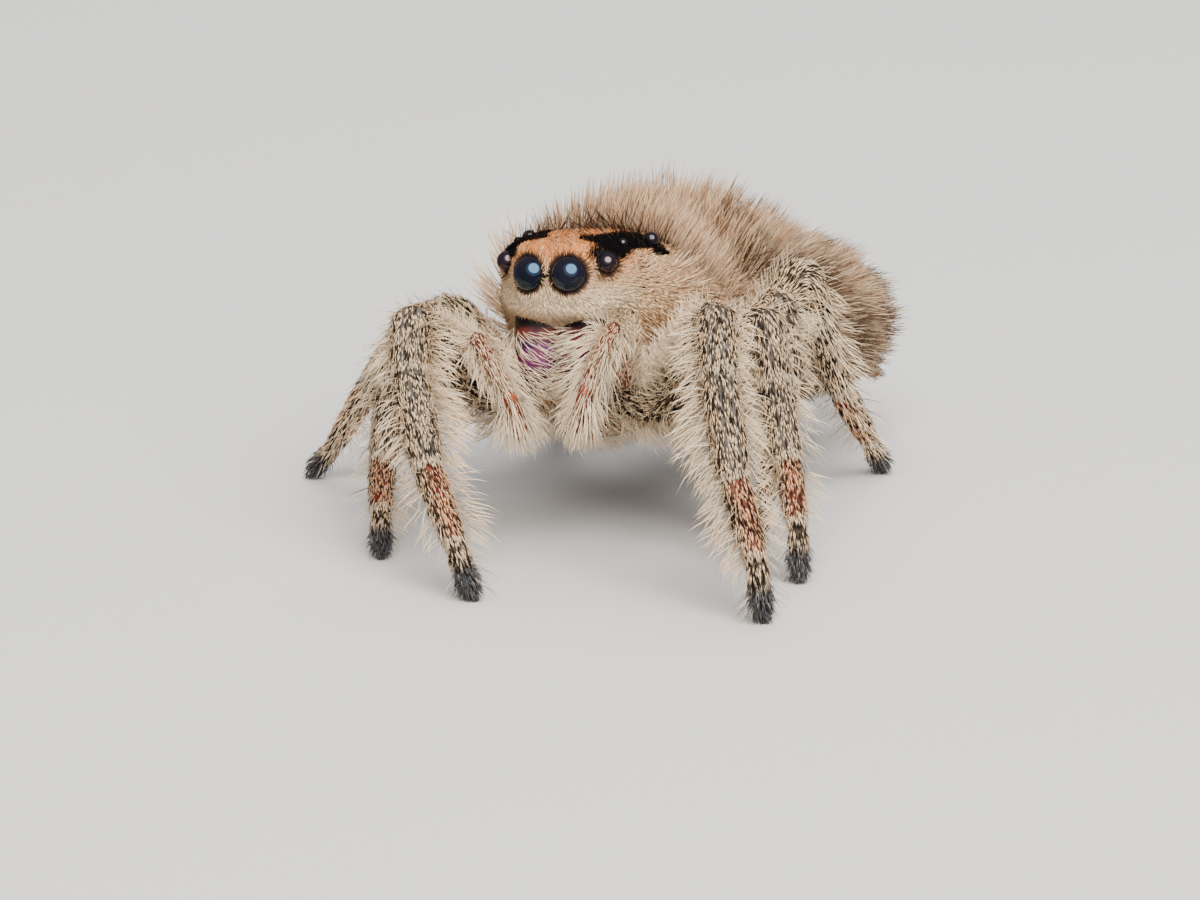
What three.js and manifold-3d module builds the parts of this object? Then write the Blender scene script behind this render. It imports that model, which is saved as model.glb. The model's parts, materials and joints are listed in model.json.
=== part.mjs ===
// A heavy-bodied female jumping spider, life size, standing high on eight feet with its head turned.
// Millimetres, +Z up. The animal faces -Y, and its own left side is +X.
// Every solid reaches out to the tips of the hair on that part of the body.

import * as THREE from 'three';
import { mergeVertices } from 'three/addons/utils/BufferGeometryUtils.js';
import Module from 'manifold-3d';

const wasm = await Module();
wasm.setup();

// ---- driving dimensions ----

const cut = 0.08; // width of the thin cuts that part neighbours
const jointLap = 0.28; // how far a limb segment runs past the middle of its joint
const floorRoom = 30; // half-width of the block of space above the floor

// The head's own frame: x to the animal's left, y backwards, z up, from the middle of the great eyes.
const head = { eyeLine: [0, -3.3, 6.96], pitch: 11, roll: 5 };

// Carapace stations, front to back: distance back, half-width, crown, widest level, lower edge, squareness.
const carapaceStations = [
  { back: -0.16, half: 1.62, crown: 0.62, level: -0.25, edge: -0.98, square: 3.4 },
  { back: 0.35, half: 1.86, crown: 0.82, level: -0.35, edge: -1.2, square: 3.2 },
  { back: 1.15, half: 2.06, crown: 0.94, level: -0.45, edge: -1.75, square: 3.0 },
  { back: 2.2, half: 2.3, crown: 1.02, level: -0.6, edge: -2.15, square: 2.8 },
  { back: 3.3, half: 2.58, crown: 0.85, level: -0.9, edge: -2.3, square: 2.4 },
  { back: 4.5, half: 2.5, crown: 0.2, level: -1.2, edge: -2.35, square: 2.2 },
  { back: 5.5, half: 1.95, crown: -0.6, level: -1.5, edge: -2.3, square: 2.1 },
  { back: 6.1, half: 1.3, crown: -1.1, level: -1.75, edge: -2.25, square: 2.0 },
];

const carapaceCoat = { front: 0.08, side: 0.5, top: 2.3, rear: 0.5, low: 0.08 };
const faceBow = 0.68; // how far the face sweeps back at its outer corners

const eyes = {
  main: { at: [0.57, 0, 0], radius: 0.5, facets: 12 },
  side: { at: [1.4, 0.35, 0.3], radius: 0.26, facets: 10 },
  small: { at: [1.47, 1.1, 0.78], radius: 0.12, facets: 8 },
  rear: { at: [1.72, 2.2, 0.86], radius: 0.2, facets: 8 },
};

const chelicera = { root: [0.74, 0.72, -0.9], tip: [0.6, 0.42, -3.05], half: 0.64, depth: 0.6 };

const abdomen = {
  spine: [[-0.35, 1.9, 4.5], [0.3, 4.5, 4.15], [1.0, 7.1, 3.7], [1.85, 10.4, 3.1], [2.2, 11.9, 2.8]],
  half: 2.75,
  rise: 2.35,
  drop: 2.35,
  nose: 3.3,
  tail: 6.6,
  coat: { side: 0.95, topFront: 2.9, topRear: 0.8, bottom: 0.35 },
};

const spinnerets = { root: [2.0, 10.2, 1.75], tip: [2.3, 12.0, 1.35], radius: 0.42 };
const sternum = { front: [0, 0.9, -2.95], back: [0, 5.4, -2.75], half: 1.45, rise: 0.5, drop: 0.55 };

// Hip joints in the head's frame, then segment lengths and bare thickness, pair by pair from the front.
const legPairs = [
  { hip: [2.5, 1.65, -3.15], lengths: [3.4, 2.0, 2.8, 2.2, 1.45], girth: 1.0 },
  { hip: [2.75, 2.95, -3.2], lengths: [3.0, 1.7, 2.2, 1.9, 1.3], girth: 0.92 },
  { hip: [2.7, 4.4, -3.05], lengths: [2.9, 1.4, 1.9, 2.0, 1.15], girth: 0.84 },
  { hip: [1.95, 5.5, -2.85], lengths: [3.7, 1.6, 2.4, 2.2, 1.2], girth: 0.88 },
];

// Per segment: bare radius at the near and far end, and how far the coat stands off it.
const legSegments = [
  { name: 'femur', finish: 'fleece', near: 0.42, far: 0.55, coat: { side: 0.45, top: 0.5, bottom: 0.95 } },
  { name: 'patella', finish: 'salted', near: 0.54, far: 0.48, coat: { side: 0.6, top: 0.2, bottom: 0.45 } },
  { name: 'tibia', finish: 'salted', near: 0.5, far: 0.4, coat: { side: 0.76, top: 0.2, bottom: 0.5 } },
  { name: 'metatarsus', finish: 'rosy', near: 0.4, far: 0.28, coat: { side: 0.74, top: 0.18, bottom: 0.4 } },
  { name: 'tarsus', finish: 'footTuft', near: 0.3, far: 0.22, coat: { side: 0.36, top: 0.14, bottom: 0.16 } },
];

// The pose: for each segment [heading, pitch] in degrees. Heading 0 points straight out to the leg's
// own side and 90 straight ahead. The tarsus has a heading alone, as its slope takes it to the floor.
const legPoses = {
  left: [
    [[32, 50], [66, -36], [49, -52], [43, -47], [43]],
    [[4, 53], [34, -70], [51, -50], [56, -43], [55]],
    [[-5, 61], [35, -60], [85, -72], [98, -68], [100]],
    [[-28, 52], [-73, -67], [-86, -59], [-81, -50], [-77]],
  ],
  right: [
    [[63, 44], [112, -34], [132, -42], [144, -45], [147]],
    [[22, 34], [84, -60], [109, -42], [117, -27], [118]],
    [[6, 41], [10, -22], [11, -58], [13, -61], [15]],
    [[-38, 54], [-62, -52], [-72, -60], [-74, -54], [-75]],
  ],
};

const palp = { hip: [1.45, 1.25, -2.75], lengths: [2.3, 1.1, 0.85, 1.6] };
const palpSegments = {
  femur: { near: 0.3, far: 0.32, coat: { side: 0.4, top: 0.3, bottom: 0.35 } },
  tibia: { near: 0.34, far: 0.3, coat: { side: 0.62, top: 0.4, bottom: 0.4 } },
  tarsus: { near: 0.3, far: 0.26, coat: { side: 0.75, top: 0.5, bottom: 0.45 } },
};
const palpPoses = {
  left: [[73, 51], [88, -28], [110, -49], [91, -82]],
  right: [[78, 39], [148, -30], [156, -42], [144, -63]],
};

// ---- small helpers ----

const vector = (xyz) => new THREE.Vector3(...xyz);
const up = new THREE.Vector3(0, 0, 1);
const radians = THREE.MathUtils.degToRad;
const sideSign = { left: 1, right: -1 };

const headMatrix = new THREE.Matrix4().makeTranslation(...head.eyeLine)
  .multiply(new THREE.Matrix4().makeRotationY(-radians(head.roll)))
  .multiply(new THREE.Matrix4().makeRotationX(-radians(head.pitch)));

const onHead = ([x, back, z], side = 'left') =>
  vector([x * sideSign[side], back, z]).applyMatrix4(headMatrix);

// A step of the given length from a joint, turned by heading and pitch on the leg's own side.
function stepFrom(joint, length, [heading, pitch], side) {
  const reach = length * Math.cos(radians(pitch));
  return joint.clone().add(vector([
    sideSign[side] * reach * Math.cos(radians(heading)),
    -reach * Math.sin(radians(heading)),
    length * Math.sin(radians(pitch)),
  ]));
}

// A sine or cosine bent towards a squarer outline: 2 is an ellipse, more is boxier.
const squared = (value, square) => Math.sign(value) * Math.abs(value) ** (2 / square);

// 0 at a closed end, rising steeply to 1 at a distance of one: the rounding of a blunt end.
const roundOff = (distance, power) => (1 - (1 - Math.min(1, distance)) ** power) ** (1 / power);

function endShape(s, length, nose, tail, power = 2.4) {
  return roundOff((s * length) / nose, power) * roundOff(((1 - s) * length) / tail, power);
}

// A closed solid drawn along a path. section(s) gives the half-width, the rise above and the drop
// below the path, and the squareness of the outline, for s from 0 at the start to 1 at the end.
function loft({ path, sides, rows, section }) {
  const geometry = new THREE.SphereGeometry(1, sides, rows);
  const { position, uv } = geometry.attributes;
  for (let i = 0; i < position.count; i += 1) {
    const s = (1 - Math.cos(Math.PI * (1 - uv.getY(i)))) / 2;
    const angle = 2 * Math.PI * uv.getX(i);
    const along = path.getTangentAt(s);
    const across = along.clone().cross(up).normalize();
    const raised = across.clone().cross(along).normalize();
    const { half, rise, drop, square = 2 } = section(s);
    const level = squared(Math.sin(angle), square);
    const point = path.getPointAt(s)
      .addScaledVector(across, half * squared(Math.cos(angle), square))
      .addScaledVector(raised, level * (level > 0 ? rise : drop));
    position.setXYZ(i, point.x, point.y, point.z);
  }
  return geometry;
}

const smoothPath = (points) => new THREE.CatmullRomCurve3(points, false, 'centripetal');

// The closed solid of a geometry, swollen by a margin along its surface normals.
function toSolid(geometry, margin = 0) {
  const plain = geometry.clone();
  plain.deleteAttribute('normal');
  plain.deleteAttribute('uv');
  const merged = mergeVertices(plain, 1e-4);
  merged.computeVertexNormals();
  const { position, normal } = merged.attributes;
  const vertProperties = position.array.map((value, i) => value + margin * normal.array[i]);
  return new wasm.Manifold(new wasm.Mesh({ numProp: 3, vertProperties, triVerts: merged.index.array }));
}

function toGeometry(solid) {
  const { vertProperties, triVerts } = solid.getMesh();
  const geometry = new THREE.BufferGeometry();
  geometry.setAttribute('position', new THREE.BufferAttribute(vertProperties, 3));
  geometry.setIndex(new THREE.BufferAttribute(triVerts, 1));
  geometry.computeVertexNormals();
  return geometry;
}

const material = (color, roughness, metalness = 0) =>
  new THREE.MeshStandardMaterial({ color, roughness, metalness });

const finishes = {
  face: () => material(0xc9986a, 0.8),
  fleece: () => material(0xb9a58e, 0.85),
  salted: () => material(0x8f8577, 0.8),
  rosy: () => material(0xb08773, 0.8),
  footTuft: () => material(0x5c5854, 0.85),
  lens: () => material(0x0b0b10, 0.08),
  iridescent: () => material(0x6b3f63, 0.3, 0.35),
};

// ---- parts ----

const parts = [];
const addPart = (part) => parts.push(part);

function eye(kind, side) {
  const { at, radius, facets } = eyes[kind];
  const centre = onHead(at, side);
  const ball = (sides) => new THREE.SphereGeometry(radius, sides, Math.round(sides * 0.7))
    .rotateX(Math.PI / 2).translate(centre.x, centre.y, centre.z);
  addPart({ name: `eye_${kind}_${side}`, finish: 'lens', geometry: ball(facets), socket: ball(8) });
}

// A value of the carapace stations at s, read through a smooth curve.
function stationReader(stations, keys) {
  const curves = keys.map((key) => new THREE.SplineCurve(
    stations.map((station, i) => new THREE.Vector2(i, station[key])),
  ));
  return (s) => Object.fromEntries(keys.map((key, i) => [key, curves[i].getPoint(s).y]));
}

function carapace() {
  const first = carapaceStations[0].back;
  const last = carapaceStations.at(-1).back;
  const read = stationReader(carapaceStations, ['back', 'half', 'crown', 'level', 'edge', 'square']);
  const { front, side, top, rear, low } = carapaceCoat;
  const geometry = new THREE.SphereGeometry(1, 20, 15);
  const { position, uv } = geometry.attributes;
  for (let i = 0; i < position.count; i += 1) {
    const s = (1 - Math.cos(Math.PI * (1 - uv.getY(i)))) / 2;
    const angle = 2 * Math.PI * uv.getX(i);
    const { back, half, crown, level, edge, square } = read(s);
    const mane = THREE.MathUtils.smoothstep(back, 2.2, 4.5);
    const ends = roundOff(s / 0.055, 3.2) * roundOff((1 - s) / 0.16, 2.4);
    const height = squared(Math.sin(angle), square);
    const reach = height > 0 ? crown - level + front + top * mane : level - edge + low;
    const x = squared(Math.cos(angle), square) * (half + front + side * mane) * ends;
    const bow = faceBow * (x / half) ** 2 * (1 - THREE.MathUtils.smoothstep(back, 0, 2.4));
    const point = vector([
      x,
      THREE.MathUtils.lerp(first - front, last + rear, (back - first) / (last - first)) + bow,
      level + height * reach * ends,
    ]).applyMatrix4(headMatrix);
    position.setXYZ(i, point.x, point.y, point.z);
  }
  addPart({ name: 'carapace', finish: 'face', geometry });
}

function cheliceraOf(side) {
  const { root, tip, half, depth } = chelicera;
  const path = new THREE.LineCurve3(onHead(root, side), onHead(tip, side));
  const geometry = loft({
    path,
    sides: 10,
    rows: 8,
    section: (s) => {
      const ends = endShape(s, path.getLength(), 0.35, 0.6) * (1 - 0.18 * s);
      return { half: half * ends, rise: depth * ends, drop: depth * ends, square: 2.4 };
    },
  });
  addPart({ name: `chelicera_${side}`, finish: 'iridescent', geometry });
}

// One length of leg or palp: bare thickness plus a coat that stands out most in mid-length.
function segmentShape(joints, { near, far, coat }, girth, lap, rows) {
  const path = smoothPath(joints);
  const length = path.getLength() + 2 * lap;
  const first = joints[0].clone().addScaledVector(path.getTangentAt(0), -lap);
  const last = joints.at(-1).clone().addScaledVector(path.getTangentAt(1), lap);
  return loft({
    path: smoothPath([first, ...joints.slice(1, -1), last]),
    sides: 8,
    rows,
    section: (s) => {
      const bare = THREE.MathUtils.lerp(near, far, s);
      const flare = 0.45 + 0.6 * Math.sin(Math.PI * s ** 0.85);
      const size = girth * endShape(s, length, 0.55, 0.6);
      return {
        half: (bare + coat.side * flare) * size,
        rise: (bare + coat.top * flare) * size,
        drop: (bare + coat.bottom * flare) * size,
      };
    },
  });
}

// A chain of segments, parted at each joint by a mitre plane halfway between their directions.
function limb(segments, girth) {
  const direction = ({ joints }, end) => smoothPath(joints).getTangentAt(end);
  segments.forEach((segment, i) => {
    const { name, finish, joints, measures, lap = jointLap, rows, onFloor } = segment;
    const mitres = [];
    const addMitre = (before, after, sign) => {
      const normal = direction(before, 1).add(direction(after, 0)).normalize().multiplyScalar(sign);
      mitres.push({ normal, offset: normal.dot(after.joints[0]) });
    };
    if (i > 0) addMitre(segments[i - 1], segment, 1);
    if (i < segments.length - 1) addMitre(segment, segments[i + 1], -1);
    const geometry = segmentShape(joints, measures, girth, lap, rows);
    addPart({ name, finish, geometry, mitres, onFloor, follows: segments[i - 1]?.name });
  });
}

function leg(side, pair) {
  const { hip, lengths, girth } = legPairs[pair];
  const pose = legPoses[side][pair];
  const joints = [onHead(hip, side)];
  lengths.forEach((length, i) => {
    const from = joints.at(-1);
    const slope = pose[i][1] ?? -THREE.MathUtils.radToDeg(Math.asin(Math.min(0.97, from.z / length)));
    joints.push(stepFrom(from, length, [pose[i][0], slope], side));
  });
  const coxaRoot = onHead([hip[0] * 0.4, hip[1] * 0.9 + 0.35, hip[2] + 0.1], side);
  limb(legSegments.map(({ name, finish, ...measures }, i) => ({
    name: `leg_${side}_${pair + 1}_${name}`,
    finish,
    measures,
    joints: name === 'femur' ? [coxaRoot, joints[0], joints[1]] : [joints[i], joints[i + 1]],
    lap: name === 'tarsus' ? 0.2 : jointLap,
    rows: name === 'femur' ? 7 : 5,
    onFloor: name === 'tarsus',
  })), girth);
}

function palpOf(side) {
  const joints = [onHead(palp.hip, side)];
  palp.lengths.forEach((length, i) => {
    joints.push(stepFrom(joints.at(-1), length, palpPoses[side][i], side));
  });
  const [hip, knee, shin, wrist, tip] = joints;
  const spans = { femur: [hip, knee], tibia: [knee, shin, wrist], tarsus: [wrist, tip] };
  limb(Object.entries(spans).map(([name, span]) => ({
    name: `palp_${side}_${name}`,
    finish: 'fleece',
    measures: palpSegments[name],
    joints: span,
    lap: 0.2,
    rows: 6,
  })), 1);
}

function sternumPlate() {
  const { front, back, half, rise, drop } = sternum;
  const path = new THREE.LineCurve3(onHead(front), onHead(back));
  const geometry = loft({
    path,
    sides: 10,
    rows: 7,
    section: (s) => {
      const ends = endShape(s, path.getLength(), 1.1, 1.1, 2);
      return { half: half * ends, rise: rise * ends, drop: drop * ends };
    },
  });
  addPart({ name: 'sternum', finish: 'salted', geometry });
}

function abdomenSac() {
  const { spine, half, rise, drop, nose, tail, coat } = abdomen;
  const path = smoothPath(spine.map(vector));
  const length = path.getLength();
  const geometry = loft({
    path,
    sides: 18,
    rows: 14,
    section: (s) => {
      const egg = roundOff((s * length) / nose, 2.4) * roundOff(((1 - s) * length) / tail, 2);
      const hair = endShape(s, length, 1.3, 1.8, 2);
      const onTop = THREE.MathUtils.lerp(coat.topRear, coat.topFront, (1 - s) ** 2.6);
      return {
        half: half * egg + coat.side * hair,
        rise: rise * egg + onTop * hair,
        drop: drop * egg + coat.bottom * hair,
      };
    },
  });
  addPart({ name: 'abdomen', finish: 'fleece', geometry });
}

function spinneretGroup() {
  const { root, tip, radius } = spinnerets;
  const path = new THREE.LineCurve3(vector(root), vector(tip));
  const geometry = loft({
    path,
    sides: 10,
    rows: 6,
    section: (s) => {
      const size = radius * endShape(s, path.getLength(), 0.3, 0.8);
      return { half: size * 1.25, rise: size, drop: size };
    },
  });
  addPart({ name: 'spinnerets', finish: 'salted', geometry });
}

for (const kind of Object.keys(eyes)) {
  for (const side of Object.keys(sideSign)) eye(kind, side);
}
sternumPlate();
carapace();
for (const side of Object.keys(sideSign)) cheliceraOf(side);
for (const side of Object.keys(sideSign)) palpOf(side);
for (let pair = 0; pair < legPairs.length; pair += 1) {
  for (const side of Object.keys(sideSign)) leg(side, pair);
}
abdomenSac();
spinneretGroup();

// ---- thin cuts: every part gives way to those before it ----

const aboveFloor = toSolid(
  new THREE.BoxGeometry(2 * floorRoom, 2 * floorRoom, floorRoom).translate(0, 0, floorRoom / 2),
);

function boxesMeet(a, b) {
  const one = a.boundingBox();
  const two = b.boundingBox();
  return [0, 1, 2].every((k) => one.min[k] < two.max[k] && two.min[k] < one.max[k]);
}

function solidOf({ geometry, mitres = [], onFloor }, margin) {
  let solid = toSolid(geometry, margin);
  for (const { normal, offset } of mitres) {
    solid = solid.trimByPlane(normal.toArray(), offset + cut / 2 - margin);
  }
  return onFloor ? solid.intersect(aboveFloor) : solid;
}

const largestOf = (solid) => solid.decompose().reduce((a, b) => (a.volume() > b.volume() ? a : b));

const spider = new THREE.Group();
const placed = [];
for (const part of parts) {
  let solid = solidOf(part, 0);
  for (const { name, grown } of placed) {
    if (name !== part.follows && boxesMeet(solid, grown)) solid = solid.subtract(grown);
  }
  solid = largestOf(solid);
  placed.push({ name: part.name, grown: solidOf({ ...part, geometry: part.socket ?? part.geometry }, cut) });
  const mesh = new THREE.Mesh(toGeometry(solid), finishes[part.finish]());
  mesh.name = part.name;
  spider.add(mesh);
}

// The origin is the middle of the footprint, on the floor.
const bounds = new THREE.Box3().setFromObject(spider);
const centre = bounds.getCenter(new THREE.Vector3());
spider.position.set(-centre.x, -centre.y, -bounds.min.z);

export default spider;
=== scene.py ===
import bmesh
import bpy
import json
import math
import numpy as np
from mathutils import Matrix, Vector, noise
from mathutils.kdtree import KDTree

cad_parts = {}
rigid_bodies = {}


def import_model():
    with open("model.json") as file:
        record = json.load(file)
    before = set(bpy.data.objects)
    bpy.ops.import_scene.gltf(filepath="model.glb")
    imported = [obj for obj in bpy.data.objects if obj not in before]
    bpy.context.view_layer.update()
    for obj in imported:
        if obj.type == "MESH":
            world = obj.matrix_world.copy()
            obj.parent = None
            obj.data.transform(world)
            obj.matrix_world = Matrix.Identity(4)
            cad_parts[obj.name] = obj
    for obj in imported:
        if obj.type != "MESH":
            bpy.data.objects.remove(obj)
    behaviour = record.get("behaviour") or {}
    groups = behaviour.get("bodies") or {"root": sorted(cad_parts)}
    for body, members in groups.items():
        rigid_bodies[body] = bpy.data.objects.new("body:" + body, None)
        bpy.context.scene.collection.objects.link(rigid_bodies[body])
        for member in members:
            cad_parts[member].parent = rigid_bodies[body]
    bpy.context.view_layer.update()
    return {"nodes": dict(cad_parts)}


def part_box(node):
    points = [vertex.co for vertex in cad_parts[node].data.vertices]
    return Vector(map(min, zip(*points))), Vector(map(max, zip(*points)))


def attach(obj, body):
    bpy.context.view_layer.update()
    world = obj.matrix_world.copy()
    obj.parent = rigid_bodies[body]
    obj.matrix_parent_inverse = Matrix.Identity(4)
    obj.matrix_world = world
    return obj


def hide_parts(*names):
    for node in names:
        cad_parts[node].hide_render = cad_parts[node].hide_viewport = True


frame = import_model()
nodes = frame["nodes"]
mm = 0.001
up = np.array([0.0, 0.0, 1.0])
sides = {"left": 1, "right": -1}
print("frame loaded:", len(nodes), "nodes")

# Everything is modelled in millimetres and brought to metres when a piece is finished.


def unit(vectors):
    vectors = np.asarray(vectors, float)
    return vectors / np.maximum(np.linalg.norm(vectors, axis=-1, keepdims=True), 1e-9)


def smoothStep(value, low, high):
    t = np.clip((np.asarray(value, float) - low) / (high - low), 0, 1)
    return t * t * (3 - 2 * t)


def tone(red, green, blue):  # a screen colour, 0 to 255, as linear light
    value = np.array([red, green, blue]) / 255
    return np.where(value <= 0.04045, value / 12.92, ((value + 0.055) / 1.055) ** 2.4)


def fallStep(value, low, high):  # 1 below the first limit, 0 above the second
    return 1 - smoothStep(value, low, high)


def mix(first, second, share):
    share = np.asarray(share, float)[..., None]
    return first * (1 - share) + second * share


def mottle(points, scale, offset=0.0):  # smooth noise from 0 to 1
    shift = Vector((offset, offset * 1.7, -offset))
    values = [noise.noise(Vector(point) * scale + shift) for point in points]
    return np.clip(0.5 + 0.75 * np.array(values), 0, 1)


# places read from the frame


def middleOf(node):
    low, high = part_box(node)
    return (np.array(low) + np.array(high)) / 2 / mm


def cornersOf(node):
    mesh = nodes[node].data
    mesh.calc_loop_triangles()
    points = np.empty(len(mesh.vertices) * 3, np.float32)
    mesh.vertices.foreach_get("co", points)
    corners = np.empty(len(mesh.loop_triangles) * 3, np.int32)
    mesh.loop_triangles.foreach_get("vertices", corners)
    return points.reshape(-1, 3)[corners].reshape(-1, 3, 3).astype(float) / mm


def flatFace(node, towards):  # middle of a node's largest flat face that looks that way
    corners = cornersOf(node)
    cross = np.cross(corners[:, 1] - corners[:, 0], corners[:, 2] - corners[:, 0])
    area = np.linalg.norm(cross, axis=1)
    normal = unit(cross)
    facing = normal @ unit(towards) > 0.4
    coplanar = [facing & (normal @ normal[i] > 0.999) for i in np.flatnonzero(facing)]
    flat = max(coplanar, key=lambda chosen: area[chosen].sum())
    return np.average(corners[flat].mean(axis=1), axis=0, weights=area[flat])


def jointBetween(inner, outer):  # middle of the thin cut between two limb nodes
    step = middleOf(outer) - middleOf(inner)
    return (flatFace(inner, step) + flatFace(outer, -step)) / 2


headPlan = {
    "rearEye": (2.2, 0.86),  # the rear eyes, back and up from the great eyes
    "faceBow": 0.68,
    # back, half-width, crown, widest level, lower edge, squareness
    "stations": [
        (-0.16, 1.62, 0.62, -0.25, -0.98, 3.4),
        (0.35, 1.86, 0.82, -0.35, -1.20, 3.2),
        (1.15, 2.06, 0.94, -0.45, -1.75, 3.0),
        (2.20, 2.30, 1.02, -0.60, -2.15, 2.8),
        (3.30, 2.58, 0.85, -0.90, -2.30, 2.4),
        (4.50, 2.50, 0.20, -1.20, -2.35, 2.2),
        (5.50, 1.95, -0.60, -1.50, -2.30, 2.1),
        (6.10, 1.30, -1.10, -1.75, -2.25, 2.0),
    ],
    "maneTop": 2.3,
    "maneSide": 0.5,
    "shortCoat": 0.1,
}

eyeLine = (middleOf("eye_main_left") + middleOf("eye_main_right")) / 2
headLeft = unit(middleOf("eye_main_left") - middleOf("eye_main_right"))
rearLine = unit((middleOf("eye_rear_left") + middleOf("eye_rear_right")) / 2 - eyeLine)
rearAngle = math.atan2(headPlan["rearEye"][1], headPlan["rearEye"][0])
rearUp = np.cross(headLeft, rearLine)
headBack = rearLine * math.cos(rearAngle) - rearUp * math.sin(rearAngle)
headUp = rearLine * math.sin(rearAngle) + rearUp * math.cos(rearAngle)
headAxes = np.array([headLeft, headBack, headUp])


def onHead(place):
    return eyeLine + np.asarray(place, float) @ headAxes


def toHead(points):
    return (points - eyeLine) @ headAxes.T


# forms: round bodies drawn along a path, which the skin is cast from

forms = []


def smoothPath(points, count=200):
    points = np.array(points, float)
    if len(points) > 2:
        padded = np.vstack([2 * points[0] - points[1], points, 2 * points[-1] - points[-2]])
        t = np.linspace(0, 1, 40, endpoint=False)[:, None]
        spans = []
        for a, b, c, d in zip(padded, padded[1:], padded[2:], padded[3:]):
            spans.append(0.5 * (2 * b + (c - a) * t + (2 * a - 5 * b + 4 * c - d) * t ** 2
                                + (3 * b - a - 3 * c + d) * t ** 3))
        points = np.vstack(spans + [points[-1:]])
    travelled = np.concatenate([[0], np.cumsum(np.linalg.norm(np.diff(points, axis=0), axis=1))])
    even = np.linspace(0, travelled[-1], count)
    return np.stack([np.interp(even, travelled, points[:, k]) for k in range(3)], axis=1), travelled[-1]


def roundOff(distance, power=2.4):  # 0 at a closed end, rising steeply to 1
    return (1 - (1 - np.clip(distance, 0, 1)) ** power) ** (1 / power)


def squared(value, square):
    return np.sign(value) * np.abs(value) ** (2 / square)


def addForm(name, region, centre, along, across, raised, s, size, depth, sideCount=24, **facts):
    half, rise, drop, square = size
    angle = np.linspace(0, 2 * math.pi, sideCount, endpoint=False)
    level = squared(np.sin(angle)[None], square[:, None])
    width = squared(np.cos(angle)[None], square[:, None]) * half[:, None]
    height = level * np.where(level > 0, rise[:, None], drop[:, None])
    ring = (centre[:, None] + width[..., None] * across[:, None] + height[..., None] * raised[:, None])
    forms.append({"name": name, "region": region, "centre": centre, "along": along, "across": across,
                  "raised": raised, "s": s, "ring": ring, "depth": depth,
                  "leg": 0, "side": 0, "length": 1, "lap": 0, **facts})
    return forms[-1]


def tube(name, region, points, section, depth, lap=0.0, rings=30, **facts):
    points = [np.asarray(point, float) for point in points]
    points[0] = points[0] - unit(points[1] - points[0]) * lap
    points[-1] = points[-1] + unit(points[-1] - points[-2]) * lap
    path, length = smoothPath(points)
    s = (1 - np.cos(math.pi * np.linspace(0, 1, rings))) / 2
    place = s * (len(path) - 1)
    centre = np.stack([np.interp(place, np.arange(len(path)), path[:, k]) for k in range(3)], axis=1)
    along = unit(np.gradient(path, axis=0))[np.round(place).astype(int)]
    across = unit(np.cross(along, up))
    raised = np.cross(across, along)
    return addForm(name, region, centre, along, across, raised, s, section(s, length), depth,
                   length=length, lap=lap, **facts)


def coatOn(side, top, bottom):  # how far the coat stands off, by place along and round a limb
    def depth(s, lateral, vertical):
        flare = 0.45 + 0.6 * np.sin(math.pi * np.clip(s, 0, 1) ** 0.85)
        height = np.where(vertical > 0, top, bottom) * vertical
        return flare * np.hypot(side * lateral, height)
    return depth


def limbSection(near, far, nose=0.4, tail=0.45, waist=0.14):
    def section(s, length):
        ends = roundOff(s * length / nose) * roundOff((1 - s) * length / tail)
        bulge = 1 - waist + waist * np.sin(math.pi * s) ** 0.7
        radius = (near + (far - near) * s) * ends * bulge
        return radius, radius * 1.05, radius * 1.05, np.full_like(s, 2.0)
    return section


# the head and thorax in one shell


def stationValues(s):
    rows = np.array(headPlan["stations"])
    t = s * (len(rows) - 1)
    padded = np.vstack([2 * rows[0] - rows[1], rows, 2 * rows[-1] - rows[-2]])
    i = np.minimum(t.astype(int), len(rows) - 2)
    f = (t - i)[:, None]
    a, b, c, d = (padded[i + k] for k in range(4))
    return 0.5 * (2 * b + (c - a) * f + (2 * a - 5 * b + 4 * c - d) * f ** 2
                  + (3 * b - a - 3 * c + d) * f ** 3)


def maneAt(back):
    return smoothStep(back, 2.2, 4.5)


def carapaceForm():
    s = (1 - np.cos(math.pi * np.linspace(0, 1, 70))) / 2
    back, half, crown, level, edge, square = stationValues(s).T
    ends = roundOff(s / 0.055, 3.2) * roundOff((1 - s) / 0.16)
    count = len(s)
    centre = onHead(np.stack([np.zeros(count), back, level], axis=1))

    def depth(place, lateral, vertical):
        mane = maneAt(place * 6.26 - 0.16)
        top = headPlan["shortCoat"] + headPlan["maneTop"] * mane
        side = headPlan["shortCoat"] + headPlan["maneSide"] * mane
        return np.where(vertical > 0, np.hypot(side * lateral, top * vertical), side * np.abs(lateral) + 0.06)

    size = (half * ends, (crown - level) * ends, (level - edge) * ends, square)
    shell = addForm("carapace", "carapace", centre, np.tile(headBack, (count, 1)),
                    np.tile(headLeft, (count, 1)), np.tile(headUp, (count, 1)), s, size, depth, 64)
    place = toHead(shell["ring"])
    bow = headPlan["faceBow"] * (place[..., 0] / half[:, None]) ** 2
    bow *= 1 - smoothStep(back, 0, 2.4)[:, None]
    shell["ring"] = shell["ring"] + bow[..., None] * headBack


# the abdomen, its stalk and the spinnerets

abdomenPlan = {
    "spine": [(-0.15, 0.53, 4.5), (0.5, 3.13, 4.15), (1.2, 5.73, 3.7), (2.0, 8.6, 3.15),
              (2.25, 9.8, 2.95)],
    "half": 2.75,
    "rise": 2.35,
    "drop": 2.35,
    "nose": 3.3,
    "tail": 6.6,
    "coat": {"side": 0.95, "topFront": 2.9, "topRear": 0.8, "bottom": 0.35},
}


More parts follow.
